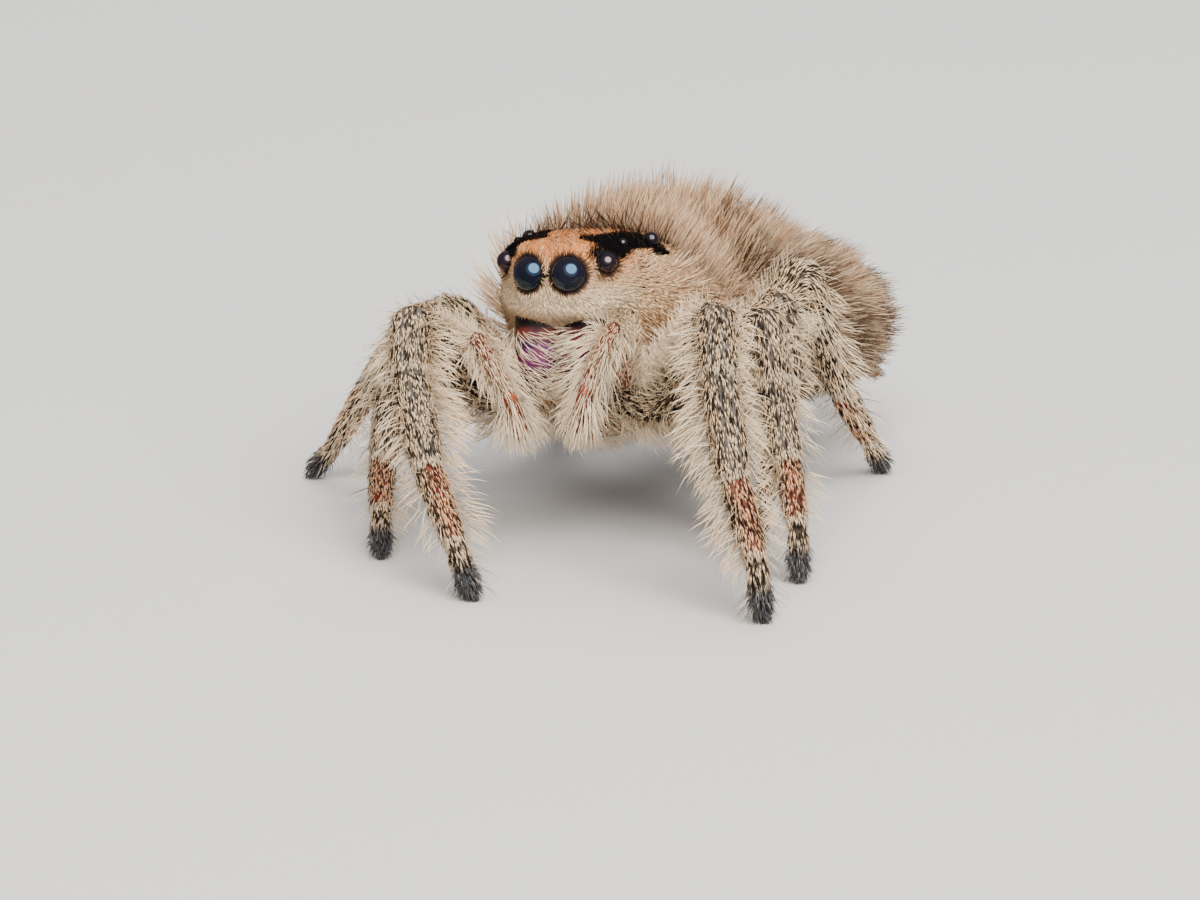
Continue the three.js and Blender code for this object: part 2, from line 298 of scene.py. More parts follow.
def abdomenForm():
    plan = abdomenPlan
    coat = plan["coat"]

    def section(s, length):
        egg = roundOff(s * length / plan["nose"]) * roundOff((1 - s) * length / plan["tail"], 2)
        return plan["half"] * egg, plan["rise"] * egg, plan["drop"] * egg, np.full_like(s, 2.0)

    def depth(s, lateral, vertical):
        top = coat["topRear"] + (coat["topFront"] - coat["topRear"]) * (1 - s) ** 2.6
        return np.hypot(coat["side"] * lateral, np.where(vertical > 0, top, coat["bottom"]) * vertical)

    tube("abdomen", "abdomen", plan["spine"], section, depth, rings=70, sideCount=64)


bodyPlan = {
    # places in the head's own axes
    "sternum": [(0, 0.9, -2.95), (0, 5.4, -2.75)],
    "stalkFront": (0, 5.2, -1.9),
    "lobeRoot": (0.75, 0.75, -2.6),
    "lobeTip": (0.45, 0.55, -3.35),
    # a place inside the end of the abdomen, in the frame's axes
    "tailEnd": (1.95, 8.1, 2.45),
    # how far out and up each spinneret starts, its reach and its girth
    "spinnerets": [(0.16, 0.1, 0.62, 0.16), (0.19, -0.14, 0.5, 0.18)],
}


def bodyForms():
    tube("sternum", "sternum", [onHead(place) for place in bodyPlan["sternum"]],
         limbSection(1.25, 1.25, 1.2, 1.2), coatOn(0.3, 0.3, 0.3))
    stalk = [onHead(bodyPlan["stalkFront"]), np.array(abdomenPlan["spine"][1])]
    tube("stalk", "stalk", stalk, limbSection(0.85, 0.95), coatOn(0.4, 0.4, 0.3))
    for side, sign in sides.items():  # the lobes beside the mouth
        lobe = [onHead(np.array(bodyPlan[key]) * (sign, 1, 1)) for key in ("lobeRoot", "lobeTip")]
        tube(f"lobe_{side}", "sternum", lobe, limbSection(0.4, 0.34), coatOn(0.15, 0.15, 0.15), lap=0.1)
    low, high = (np.array(corner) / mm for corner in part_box("spinnerets"))
    root = (low + high) / 2 + np.array([-0.05, 0.05, 0.06])
    tube("spinneret_base", "spinneret", [bodyPlan["tailEnd"], root], limbSection(0.62, 0.36, 0.4, 0.3),
         coatOn(0.3, 0.3, 0.25))
    for side, sign in sides.items():
        for rank, (spread, lift, reach, girth) in enumerate(bodyPlan["spinnerets"]):
            across = np.array([sign * spread, 0, lift])
            tip = root + across * 1.6 + np.array([0.1, reach, -0.08])
            tube(f"spinneret_{side}_{rank}", "spinneret", [root + across, tip],
                 limbSection(girth, girth * 0.7), coatOn(0.12, 0.12, 0.12), lap=0.1, sideCount=12)


# legs and palps: joints come from the cuts between their nodes

def stepFrom(place, length, heading, pitch, sign):  # a step outwards, turned ahead and up by degrees
    reach = length * math.cos(math.radians(pitch))
    across, ahead = math.cos(math.radians(heading)), math.sin(math.radians(heading))
    return place + np.array([sign * reach * across, -reach * ahead, length * math.sin(math.radians(pitch))])


legPlan = {
    "roots": [(2.5, 1.65, -3.15), (2.75, 2.95, -3.2), (2.7, 4.4, -3.05), (1.95, 5.5, -2.85)],
    "femurLength": [3.4, 3.0, 2.9, 3.7],
    # how far each femur is turned ahead and up, in degrees
    "femurTurn": {1: [(32, 50), (4, 53), (-5, 61), (-28, 52)],
                  -1: [(63, 44), (22, 34), (6, 41), (-38, 54)]},
    "girth": [1.0, 0.92, 0.84, 0.88],
    "jointRise": 0.07,
    "toeRise": 0.2,
    # bare radius near and far, then coat depth at the side, top and bottom
    "femur": (0.42, 0.55, 0.45, 0.5, 0.95),
    "patella": (0.54, 0.48, 0.6, 0.2, 0.45),
    "tibia": (0.5, 0.4, 0.76, 0.2, 0.5),
    "metatarsus": (0.4, 0.28, 0.74, 0.18, 0.4),
    "tarsus": (0.3, 0.22, 0.36, 0.14, 0.16),
}
segments = ["femur", "patella", "tibia", "metatarsus", "tarsus"]


def legForms(side, pair):
    sign = sides[side]
    girth = legPlan["girth"][pair - 1]
    out, back, low = legPlan["roots"][pair - 1]
    names = [f"leg_{side}_{pair}_{segment}" for segment in segments]
    hip = onHead([sign * out, back, low])
    joints = [stepFrom(hip, legPlan["femurLength"][pair - 1], *legPlan["femurTurn"][sign][pair - 1], sign)]
    joints += [jointBetween(a, b) + up * legPlan["jointRise"] for a, b in zip(names[1:], names[2:])]
    joints.append(flatFace(names[-1], -up) + up * legPlan["toeRise"])
    body = onHead([sign * out * 0.4, back * 0.9 + 0.35, low + 0.1])
    starts = [[body, hip]] + [[joint] for joint in joints[:-1]]
    for name, segment, start, end in zip(names, segments, starts, joints):
        near, far, coatSide, coatTop, coatBottom = (value * girth for value in legPlan[segment])
        tube(name, segment, start + [end], limbSection(near, far), coatOn(coatSide, coatTop, coatBottom),
             lap=0.2 if segment != "tarsus" else 0.12, leg=pair, side=sign)


palpPlan = {
    "hip": (1.45, 1.25, -2.75),
    "femurLength": 2.3,
    "femurTurn": {1: (73, 51), -1: (78, 39)},
    "tipReach": 1.05,
    "femur": (0.24, 0.24, 0.4, 0.3, 0.35),
    "tibia": (0.25, 0.21, 0.68, 0.45, 0.45),
    "tarsus": (0.21, 0.24, 0.8, 0.62, 0.6),
}


def palpForms(side):
    sign = sides[side]
    names = {part: f"palp_{side}_{part}" for part in ("femur", "tibia", "tarsus")}
    wrist = jointBetween(names["tibia"], names["tarsus"])
    tip = wrist + unit(middleOf(names["tarsus"]) - wrist) * palpPlan["tipReach"]
    hip = onHead([sign * palpPlan["hip"][0], *palpPlan["hip"][1:]])
    knee = stepFrom(hip, palpPlan["femurLength"], *palpPlan["femurTurn"][sign], sign)
    paths = {"femur": [hip, knee], "tibia": [knee, middleOf(names["tibia"]), wrist], "tarsus": [wrist, tip]}
    for part, path in paths.items():
        near, far, coatSide, coatTop, coatBottom = palpPlan[part]
        tube(names[part], "palp_" + part, path, limbSection(near, far), coatOn(coatSide, coatTop, coatBottom),
             lap=0.15, side=sign)


carapaceForm()
abdomenForm()
bodyForms()
for sideName in sides:
    for legNumber in (1, 2, 3, 4):
        legForms(sideName, legNumber)
    palpForms(sideName)
print("forms drawn:", len(forms))

# one skin cast from all the forms

skinPlan = {
    "voxel": 0.09,
    "smoothing": 5,
    "rimHeight": 0.08,
    "rimWidth": 0.2,
    "lowest": 0.03,
}


def meshFrom(name, vertices, faces):
    mesh = bpy.data.meshes.new(name)
    mesh.from_pydata([tuple(vertex) for vertex in vertices], [], faces)
    mesh.update()
    return mesh


def closedRings(ring, start=0):  # vertices and faces of a form, closed at both ends
    rings, count = ring.shape[:2]
    vertices = np.vstack([ring.reshape(-1, 3), ring[0].mean(axis=0), ring[-1].mean(axis=0)])
    faces = []
    for i in range(rings - 1):
        for j in range(count):
            k = (j + 1) % count
            faces.append([start + i * count + j, start + i * count + k,
                          start + (i + 1) * count + k, start + (i + 1) * count + j])
    first, last = start + rings * count, start + rings * count + 1
    for j in range(count):
        k = (j + 1) % count
        faces.append([first, start + k, start + j])
        faces.append([last, start + (rings - 1) * count + j, start + (rings - 1) * count + k])
    return vertices, faces


def evaluated(piece, name):  # the mesh of an object with its modifiers worked in
    bpy.context.collection.objects.link(piece)
    bpy.context.view_layer.update()
    graph = bpy.context.evaluated_depsgraph_get()
    mesh = bpy.data.meshes.new_from_object(piece.evaluated_get(graph), preserve_all_data_layers=True,
                                           depsgraph=graph)
    mesh.name = name
    bpy.data.objects.remove(piece)
    return mesh


def castSkin():
    vertices, faces = [], []
    for form in forms:
        points, quads = closedRings(form["ring"], sum(len(block) for block in vertices))
        vertices.append(points)
        faces.extend(quads)
    cast = bpy.data.objects.new("cast", meshFrom("cast", np.vstack(vertices), faces))
    remesh = cast.modifiers.new("cast", "REMESH")
    remesh.mode = "VOXEL"
    remesh.voxel_size = skinPlan["voxel"]
    soften = cast.modifiers.new("soften", "SMOOTH")
    soften.factor = 0.5
    soften.iterations = skinPlan["smoothing"]
    return evaluated(cast, "skin")


def positionsOf(mesh):
    points = np.empty(len(mesh.vertices) * 3, np.float32)
    mesh.vertices.foreach_get("co", points)
    return points.reshape(-1, 3).astype(float)


def normalsOf(mesh):
    normals = np.empty(len(mesh.vertices) * 3, np.float32)
    mesh.vertex_normals.foreach_get("vector", normals)
    return normals.reshape(-1, 3).astype(float)


# radius of each kind of eye, and how far it is set inwards
eyePlan = {"main": (0.465, 0.045), "side": (0.26, 0), "small": (0.12, 0), "rear": (0.2, 0)}
eyePlaces = [(kind, side, middleOf(f"eye_{kind}_{side}") - headLeft * sign * inset, radius)
             for kind, (radius, inset) in eyePlan.items() for side, sign in sides.items()]

skinMesh = castSkin()
skinPoints = positionsOf(skinMesh)
for _, _, eyeCentre, eyeRadius in eyePlaces:  # a low rim round each eye
    offset = skinPoints - eyeCentre
    distance = np.linalg.norm(offset, axis=1) - eyeRadius
    share = min(1, eyeRadius / 0.35)
    rim = skinPlan["rimHeight"] * share * np.exp(-(distance / (skinPlan["rimWidth"] * share)) ** 2)
    skinPoints += rim[:, None] * unit(eyeCentre - eyeLine - 1.2 * headBack)
skinPoints[:, 2] = np.maximum(skinPoints[:, 2], skinPlan["lowest"])
skinMesh.vertices.foreach_set("co", skinPoints.astype(np.float32).ravel())
skinMesh.update()
skinNormals = normalsOf(skinMesh)
print("skin cast:", len(skinMesh.vertices), "points")

# where every point of the skin is: its form, how far along and how far round


def placeOnForm(form, points):  # how far along, sideways, upwards, and the direction along
    gap = points[:, None] - form["centre"][None]
    nearest = np.argmin((gap ** 2).sum(axis=2), axis=1)
    offset = points - form["centre"][nearest]
    along = form["along"][nearest]
    length = np.linalg.norm(np.diff(form["centre"], axis=0), axis=1).sum()
    s = form["s"][nearest] + (offset * along).sum(axis=1) / length
    lateral = (offset * form["across"][nearest]).sum(axis=1)
    vertical = (offset * form["raised"][nearest]).sum(axis=1)
    size = np.maximum(np.hypot(lateral, vertical), 1e-6)
    return np.clip(s, 0, 1), lateral / size, vertical / size, along


def surveySkin():
    points = skinPoints
    rings = [form["ring"].reshape(-1, 3) for form in forms]
    owner = np.concatenate([np.full(len(ring), number) for number, ring in enumerate(rings)])
    tree = KDTree(len(owner))
    for number, point in enumerate(np.vstack(rings)):
        tree.insert(point, number)
    tree.balance()
    own = owner[[tree.find(point)[1] for point in points.tolist()]]
    survey = {key: np.zeros(len(points)) for key in
              ("s", "lateral", "vertical", "depth", "leg", "side", "fromStart", "fromEnd")}
    survey["along"] = np.zeros((len(points), 3))
    survey["form"] = own
    survey["region"] = np.array([form["region"] for form in forms])[own]
    for number, form in enumerate(forms):
        mine = own == number
        if not mine.any():
            continue
        s, lateral, vertical, along = placeOnForm(form, points[mine])
        survey["s"][mine] = s
        survey["fromStart"][mine] = s * form["length"] - form["lap"]  # millimetres past the joint
        survey["fromEnd"][mine] = (1 - s) * form["length"] - form["lap"]
        survey["lateral"][mine] = lateral
        survey["vertical"][mine] = vertical
        survey["along"][mine] = along
        survey["depth"][mine] = form["depth"](s, lateral, vertical)
        survey["leg"][mine] = form["leg"]
        survey["side"][mine] = form["side"]
    return survey


skin = surveySkin()
skin["head"] = toHead(skinPoints)
print("skin surveyed")


def regionMask(*names):
    return np.isin(skin["region"], names).astype(float)


onCarapace = regionMask("carapace")
onAbdomen = regionMask("abdomen")
onLegs = regionMask(*segments)
onPalps = regionMask("palp_femur", "palp_tibia", "palp_tarsus")
headX = np.abs(skin["head"][:, 0])  # out from the middle, back from and up from the great eyes
headB = skin["head"][:, 1]
headZ = skin["head"][:, 2]
headSign = np.sign(skin["head"][:, 0])
legSide = np.abs(skin["lateral"])  # 0 along the top and bottom of a limb, 1 at its sides


def evenOut(values, rounds):  # averages over neighbouring points, so that no region edge shows
    edges = np.empty(len(skinMesh.edges) * 2, np.int32)
    skinMesh.edges.foreach_get("vertices", edges)
    a, b = edges.reshape(-1, 2).T
    count = np.bincount(np.concatenate([a, b]), minlength=len(values)) + 1.0
    values = values.astype(float)
    flat = values.reshape(len(values), -1)
    for _ in range(rounds):
        total = flat.copy()
        for column in range(flat.shape[1]):
            total[:, column] += np.bincount(a, flat[b, column], len(values))
            total[:, column] += np.bincount(b, flat[a, column], len(values))
        flat = total / count[:, None]
    return flat.reshape(values.shape)


# an unwrap of the skin by its own forms, one patch of the map for each

unwrapPlan = {"columns": 10, "rows": 6, "margin": 0.08}


def cellOf(name):
    if name == "carapace":
        return 0.0, 0.5, 0.5, 0.5
    if name == "abdomen":
        return 0.5, 0.5, 0.5, 0.5
    small = [form["name"] for form in forms if form["name"] not in ("carapace", "abdomen")]
    rest = small.index(name) if name in small else len(small) + (name == "jaw_right")
    row, column = divmod(rest, unwrapPlan["columns"])
    wide, high = 1 / unwrapPlan["columns"], 0.5 / unwrapPlan["rows"]
    return column * wide, row * high, wide, high


def unwrapOn(mesh, layerName, drawn, formOfPoint):
    points = positionsOf(mesh)
    vertexOf = np.empty(len(mesh.loops), np.int32)
    mesh.loops.foreach_get("vertex_index", vertexOf)
    starts = np.empty(len(mesh.polygons), np.int32)
    mesh.polygons.foreach_get("loop_start", starts)
    faceOf = np.searchsorted(starts, np.arange(len(vertexOf)), side="right") - 1
    loopForm = formOfPoint[vertexOf[starts]][faceOf]
    uv = np.zeros((len(vertexOf), 2))
    for number, form in enumerate(drawn):
        mine = loopForm == number
        if not mine.any():
            continue
        s, lateral, vertical, _ = placeOnForm(form, points[vertexOf[mine]])
        uv[mine, 0] = np.arctan2(vertical, lateral) / (2 * math.pi) + 0.5
        uv[mine, 1] = s
    uv[:, 0] -= np.round(uv[:, 0] - uv[starts[faceOf], 0])  # a face over the seam stays whole
    margin = unwrapPlan["margin"]
    cells = np.array([cellOf(form["name"]) for form in drawn])[loopForm]
    uv = cells[:, :2] + cells[:, 2:] * (margin + (1 - 2 * margin) * uv)
    layer = mesh.uv_layers.new(name=layerName)
    layer.data.foreach_set("uv", np.clip(uv, 0, 1).astype(np.float32).ravel())


# markings, shared by the skin and the coat, with painted shade towards the rear of the abdomen

colours = {
    "orange": tone(252, 158, 84),
    "tan": tone(240, 194, 150),
    "cream": tone(255, 228, 192),
    "thorax": tone(232, 186, 146),
    "fleece": tone(188, 147, 112),
    "fleeceDark": tone(76, 57, 44),
    "legCream": tone(252, 222, 184),
    "legTan": tone(198, 160, 122),
    "rosy": tone(236, 176, 132),
    "ring": tone(254, 226, 186),
    "palpRose": tone(222, 146, 104),
    "foot": tone(104, 102, 104),
    "black": tone(8, 7, 7),
    # the skin below the coat
    "underFace": tone(216, 152, 104),
    "underCheek": tone(146, 110, 82),
    "underLeg": tone(30, 22, 16),
    "underStripe": tone(124, 116, 108),
    "underRosy": tone(92, 26, 17),
    "underPalp": tone(96, 32, 18),
    "underRing": tone(158, 56, 28),
    "underBody": tone(146, 114, 86),
}

# the black velvet seen from above: out and back from the middle of the head, in millimetres
patchOutline = [(0.42, 0.66), (0.72, 0.52), (1.12, 0.5), (1.5, 0.34), (1.74, 0.6), (1.62, 1.2),
                (1.8, 1.75), (2.2, 1.95), (2.2, 2.5), (1.7, 2.6), (1.4, 3.1), (1.12, 2.95), (0.98, 2.2),
                (0.86, 1.4), (0.66, 0.95)]


def distanceIn(outline, x, y):  # distance to a closed outline, negative inside
    corners = np.array(outline)
    best = np.full(len(x), np.inf)
    inside = np.zeros(len(x), bool)
    for a, b in zip(corners, np.roll(corners, -1, axis=0)):
        run = b - a
        t = np.clip(((x - a[0]) * run[0] + (y - a[1]) * run[1]) / (run @ run), 0, 1)
        best = np.minimum(best, np.hypot(x - a[0] - t * run[0], y - a[1] - t * run[1]))
        crosses = (a[1] > y) != (b[1] > y)
        meet = a[0] + (y - a[1]) * run[0] / (run[1] if run[1] else 1e-9)
        inside ^= crosses & (x < meet)
    return np.where(inside, -best, best)


def eyePatches():
    ragged = 0.05 * (mottle(skinPoints, 7.0, 5.0) - 0.5)
    patch = 1 - smoothStep(distanceIn(patchOutline, headX, headB) + ragged, -0.02, 0.03)
    return patch * smoothStep(headZ, 0.4, 0.5) * onCarapace


def besideEyes(reach, kinds=("main", "side", "small", "rear")):  # 1 beside an eye, 0 past the reach
    near = np.zeros(len(skinPoints))
    for kind, _, centre, radius in eyePlaces:
        if kind in kinds:
            gap = np.linalg.norm(skinPoints - centre, axis=1) - radius
            near = np.maximum(near, 1 - smoothStep(gap, reach * 0.3, reach))
    return near


palpTip = regionMask("palp_tarsus")
palpRing = np.maximum(fallStep(skin["fromStart"], 0.06, 0.14) * palpTip,
                      fallStep(skin["fromEnd"], 0.04, 0.12) * regionMask("palp_tibia"))

# two bare stripes run down the top of each knee and shin
stripe = np.exp(-((legSide - 0.36) / 0.13) ** 2) * smoothStep(skin["vertical"], 0.4, 0.7)
stripe *= regionMask("patella", "tibia")
ringed = regionMask("patella", "tibia", "metatarsus")
paleRing = smoothStep(skin["fromEnd"], 0.02, 0.06) * fallStep(skin["fromEnd"], 0.2, 0.28) * ringed
darkLine = np.maximum(fallStep(skin["fromEnd"], 0.0, 0.04) * ringed,
                      fallStep(skin["fromStart"], 0.02, 0.06) * regionMask("tibia", "metatarsus", "tarsus"))


def coatTones():
    c = colours
    broad = mottle(skinPoints, 0.8, 3.0)
    fine = mottle(skinPoints, 2.6, 11.0)
    face = mix(c["cream"], c["tan"], smoothStep(headZ, -0.55, 0.05))
    face = mix(face, c["orange"], smoothStep(headZ, 0.0, 0.55))
    face = mix(face, c["tan"], smoothStep(headB, 0.5, 1.5) * fallStep(headZ, 0.35, 0.8))
    face = mix(face, c["thorax"], smoothStep(headB, 1.9, 3.1))
    # the dark patches grow towards the rear of the abdomen: painted shade where the light falls away, over
    # its own grey-brown mottle
    paintedRearShade = onAbdomen * smoothStep(skin["s"], 0.25, 0.9)
    body = mix(c["fleece"], c["fleeceDark"], 0.85 * smoothStep(broad + 0.22 * paintedRearShade, 0.5, 0.7))
    body = mix(body, c["cream"], 0.6 * smoothStep(fine, 0.55, 0.8) * fallStep(broad, 0.45, 0.6))
    leg = mix(c["legCream"], c["legTan"], 0.6 * fine)
    top = fallStep(legSide, 0.6, 0.95)
    leg = mix(leg, c["rosy"], 0.8 * regionMask("metatarsus") * top)
    leg = mix(leg, c["foot"], regionMask("tarsus") * smoothStep(skin["s"], 0.3, 0.5))
    leg = mix(leg, c["ring"], paleRing)
    palp = mix(c["cream"], c["palpRose"], 0.5 * top * fallStep(skin["s"], 0.3, 0.9))
    return mix(mix(mix(body, face, onCarapace), leg, onLegs), palp, onPalps)


blackPatch = np.maximum(eyePatches(), onCarapace * besideEyes(0.14, ("side",)))
blackPatch = np.maximum(blackPatch, onCarapace * besideEyes(0.36, ("side",)) * smoothStep(headZ, 0.32, 0.42))


def skinTones():
    c = colours
    cheekShade = smoothStep(headB, 0.6, 1.2) * fallStep(headB, 2.0, 3.0) * fallStep(headZ, 0.1, 0.6)
    bodyShade = mix(c["underBody"], c["fleeceDark"], 0.5)
    under = mix(c["underBody"], c["underFace"], onCarapace)
    for colour, share in [
        (c["underCheek"], onCarapace * cheekShade),
        (bodyShade, onAbdomen * smoothStep(mottle(skinPoints, 0.8, 3.0), 0.5, 0.7)),
        (c["underLeg"], onLegs),
        (c["underStripe"], stripe),
        (c["underRosy"], regionMask("metatarsus") * fallStep(legSide, 0.5, 0.9)),
        (c["black"], darkLine),
        (c["underPalp"], onPalps),
        (c["underRing"], palpRing),
        (c["black"], besideEyes(0.22)),
        (c["black"], besideEyes(0.2, ("side",)) * smoothStep(headZ, 0.2, 0.4)),
        (c["black"], blackPatch),
    ]:
        under = mix(under, colour, share)
    return under


skinTint = evenOut(skinTones(), 1)
coatTint = evenOut(coatTones(), 2)
print("markings set")

# nodes for materials and hair, and the materials themselves


def addNode(tree, kind, at, feeds=None, **settings):  # feeds: a socket's value, or the socket it is wired to
    node = tree.nodes.new(kind)
    node.location = at
    for key, value in settings.items():
        setattr(node, key, value)
    for key, value in (feeds or {}).items():
        if isinstance(value, bpy.types.NodeSocket):
            tree.links.new(value, node.inputs[key])
        elif value is not None:
            node.inputs[key].default_value = value
    return node


def maths(tree, operation, first, second, at):
    return addNode(tree, "ShaderNodeMath", at, {0: first, 1: second}, operation=operation).outputs[0]


def vectorMaths(tree, operation, first, second, at):
    feeds = {0: first, "Scale" if operation == "SCALE" else 1: second}
    return addNode(tree, "ShaderNodeVectorMath", at, feeds, operation=operation).outputs[0]


def mapped(tree, value, at, **limits):  # limits as fromMin, fromMax, toMin and toMax
    names = {"fromMin": "From Min", "fromMax": "From Max", "toMin": "To Min", "toMax": "To Max"}
    feeds = {"Value": value, **{names[key]: limit for key, limit in limits.items()}}
    return addNode(tree, "ShaderNodeMapRange", at, feeds).outputs["Result"]


def blended(tree, share, first, second, at):
    return addNode(tree, "ShaderNodeMix", at, {0: share, 6: first, 7: second}, data_type="RGBA").outputs[2]


def pointValue(tree, name, at, output="Fac"):  # a value or colour stored on the mesh
    return addNode(tree, "ShaderNodeAttribute", at, attribute_name=name).outputs[output]


def newGroup(name, kind, inputs, outputs):  # inputs: name, kind and starting value; outputs: name and kind
    tree = bpy.data.node_groups.new(name, kind)
    for label, socketKind, value in inputs:
        socket = tree.interface.new_socket(label, in_out="INPUT", socket_type=f"NodeSocket{socketKind}")
        if value is not None:
            socket.default_value = value
    for label, socketKind in outputs:
        tree.interface.new_socket(label, in_out="OUTPUT", socket_type=f"NodeSocket{socketKind}")
    return tree, addNode(tree, "NodeGroupInput", (-1500, 0)).outputs


def newMaterial(name, finish):  # finish: the surface's own constant values
    material = bpy.data.materials.new(name)
    material.use_nodes = True
    surface = material.node_tree.nodes["Principled BSDF"].inputs
    for key, value in finish.items():
        surface[key].default_value = value
    return material, material.node_tree, surface


def hairShadeGroup():  # the skin's marking, darker at the root and varied from hair to hair
    tree, given = newGroup("hair shade", "ShaderNodeTree",
                           [("Root Shade", "Float", 0.5), ("Spread", "Float", 0.3),
                            ("Fleck", "Color", (1, 1, 1, 1)), ("Fleck Share", "Float", 0.2)],
                           [("Colour", "Color")])
    tint = pointValue(tree, "coatTint", (-700, 300), "Color")
    chance = pointValue(tree, "hairChance", (-700, -450))
    shade = mapped(tree, pointValue(tree, "hairAlong", (-700, -250)), (-400, -150), toMin=given["Root Shade"])
    palest = maths(tree, "SUBTRACT", 1, given["Spread"], (-550, -400))
    vary = mapped(tree, chance, (-400, -400), toMin=palest)
    both = maths(tree, "MULTIPLY", shade, vary, (-200, -250))
    pick = maths(tree, "LESS_THAN", chance, given["Fleck Share"], (-400, 100))
    fleck = blended(tree, pick, tint, given["Fleck"], (-200, 200))
    addNode(tree, "NodeGroupOutput", (200, 0), {"Colour": vectorMaths(tree, "SCALE", fleck, both, (0, 0))})
    return tree


hairShade = hairShadeGroup()


def hairMaterial(name, rootShade, spread, fleck, fleckShare, roughness=0.55, specular=0.18):
    material, tree, surface = newMaterial(name, {"Roughness": roughness, "Specular IOR Level": specular})
    shade = addNode(tree, "ShaderNodeGroup", (-300, 200), node_tree=hairShade)
    values = {"Root Shade": rootShade, "Spread": spread, "Fleck": (*fleck, 1), "Fleck Share": fleckShare}
    for key, value in values.items():
        shade.inputs[key].default_value = value
    tree.links.new(shade.outputs["Colour"], surface["Base Color"])
    return material


def lyingHairGroup():  # streaks of flat hair drawn along the unwrap, as a mask and a height
    tree, given = newGroup("lying hair", "ShaderNodeTree",
                           [("Across", "Float", 420), ("Along", "Float", 62), ("Cover", "Float", 0.5)],
                           [("Mask", "Float"), ("Height", "Float")])
    place = addNode(tree, "ShaderNodeUVMap", (-900, 200), uv_map="OFBake").outputs["UV"]
    scale = addNode(tree, "ShaderNodeCombineXYZ", (-700, 0), {"X": given["Across"], "Y": given["Along"]})
    stretched = vectorMaths(tree, "MULTIPLY", place, scale.outputs[0], (-500, 100))
    streaks = addNode(tree, "ShaderNodeTexNoise", (-300, 100), {"Vector": stretched, "Scale": 1, "Detail": 2},
                      noise_dimensions="2D").outputs["Fac"]
    low = maths(tree, "SUBTRACT", 0.98, given["Cover"], (-300, -150))
    high = maths(tree, "ADD", low, 0.07, (-150, -150))
    mask = mapped(tree, streaks, (0, 0), fromMin=low, fromMax=high)
    addNode(tree, "NodeGroupOutput", (250, 0), {"Mask": mask, "Height": streaks})
    return tree


def grain(tree, scale, detail=2):  # noise in the object's own space
    place = addNode(tree, "ShaderNodeTexCoord", (-1100, -350)).outputs["Object"]
    feeds = {"Vector": place, "Scale": scale, "Detail": detail}
    return addNode(tree, "ShaderNodeTexNoise", (-900, -350), feeds).outputs["Fac"]


def ramped(tree, value, stops):  # stops: places along the ramp and their colours
    ramp = addNode(tree, "ShaderNodeValToRGB", (-500, 0), {"Fac": value})
    elements = ramp.color_ramp.elements
    for element, (position, colour) in zip(elements, (stops[0], stops[-1])):
        element.position, element.color = position, (*colour, 1)
    for position, colour in stops[1:-1]:
        elements.new(position).color = (*colour, 1)
    return ramp.outputs["Color"]


def roughened(tree, surface, height, strength, distance):  # distance in millimetres
    feeds = {"Height": height, "Strength": strength, "Distance": distance * mm}
    bump = addNode(tree, "ShaderNodeBump", (-400, -150), feeds)
    tree.links.new(bump.outputs["Normal"], surface["Normal"])


def skinMaterial():
    material, tree, surface = newMaterial("skin", {"Roughness": 0.75, "Specular IOR Level": 0.15})
    streaks = addNode(tree, "ShaderNodeGroup", (-800, -100), node_tree=lyingHairGroup())
    streaks.inputs["Cover"].default_value = 0.52
    bare = pointValue(tree, "skinTint", (-800, 400), "Color")
    haired = pointValue(tree, "coatTint", (-800, 200), "Color")
    tint = blended(tree, streaks.outputs["Mask"], bare, haired, (-500, 300))
    shade = mapped(tree, grain(tree, 6000, 3), (-500, -350), fromMin=0.3, fromMax=0.7, toMin=0.5, toMax=0.95)
    tree.links.new(vectorMaths(tree, "SCALE", tint, shade, (-300, 200)), surface["Base Color"])
    roughened(tree, surface, streaks.outputs["Height"], 0.8, 0.04)
    return material


# the skin as a finished piece


def setPointData(mesh, name, kind, values):  # values: one for each point, or one for them all
    size = {"FLOAT": (), "FLOAT_VECTOR": (3,), "FLOAT_COLOR": (3,)}[kind]
    values = np.broadcast_to(values, (len(mesh.vertices), *size))
    if kind == "FLOAT_COLOR":
        values = np.hstack([values, np.ones((len(values), 1))])
    key = {"FLOAT": "value", "FLOAT_VECTOR": "vector", "FLOAT_COLOR": "color"}[kind]
    mesh.attributes.new(name, kind, "POINT").data.foreach_set(key, np.asarray(values, np.float32).ravel())


def smoothShaded(mesh):
    mesh.polygons.foreach_set("use_smooth", np.ones(len(mesh.polygons), bool))


def finishPiece(name, mesh, material, replaced=()):
    mesh.transform(Matrix.Scale(mm, 4))
    mesh.materials.clear()
    mesh.materials.append(material)
    mesh.name = name
    piece = bpy.data.objects.new(name, mesh)
    bpy.context.collection.objects.link(piece)
    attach(piece, "root")
    if replaced:
        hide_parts(*replaced)


unwrapOn(skinMesh, "skinMap", forms, skin["form"])
smoothShaded(skinMesh)
fleshNodes = [name for name in nodes if not name.startswith(("eye_", "chelicera_"))]
shownSkin = skinMesh.copy()
shownSkin.uv_layers["skinMap"].name = "OFBake"
bareShare = blackPatch + besideEyes(0.22) + 0.35 * stripe + darkLine + 0.88 * onLegs + 0.9 * onPalps
setPointData(shownSkin, "skinTint", "FLOAT_COLOR", skinTint)
setPointData(shownSkin, "coatTint", "FLOAT_COLOR", mix(coatTint, skinTint, np.clip(bareShare, 0, 1)))
finishPiece("skin", shownSkin, skinMaterial(), fleshNodes)
print("skin finished")

# eyes

eyeLooks = {
    "main": {"Roughness": 0.05, "IOR": 1.75, "Specular Tint": (0.28, 0.62, 1.0, 1)},
    "side": {"Roughness": 0.05, "IOR": 1.75, "Specular Tint": (1.0, 0.74, 0.72, 1)},
    "small": {"Roughness": 0.05, "IOR": 1.6},
    "rear": {"Roughness": 0.05, "IOR": 1.6},
}


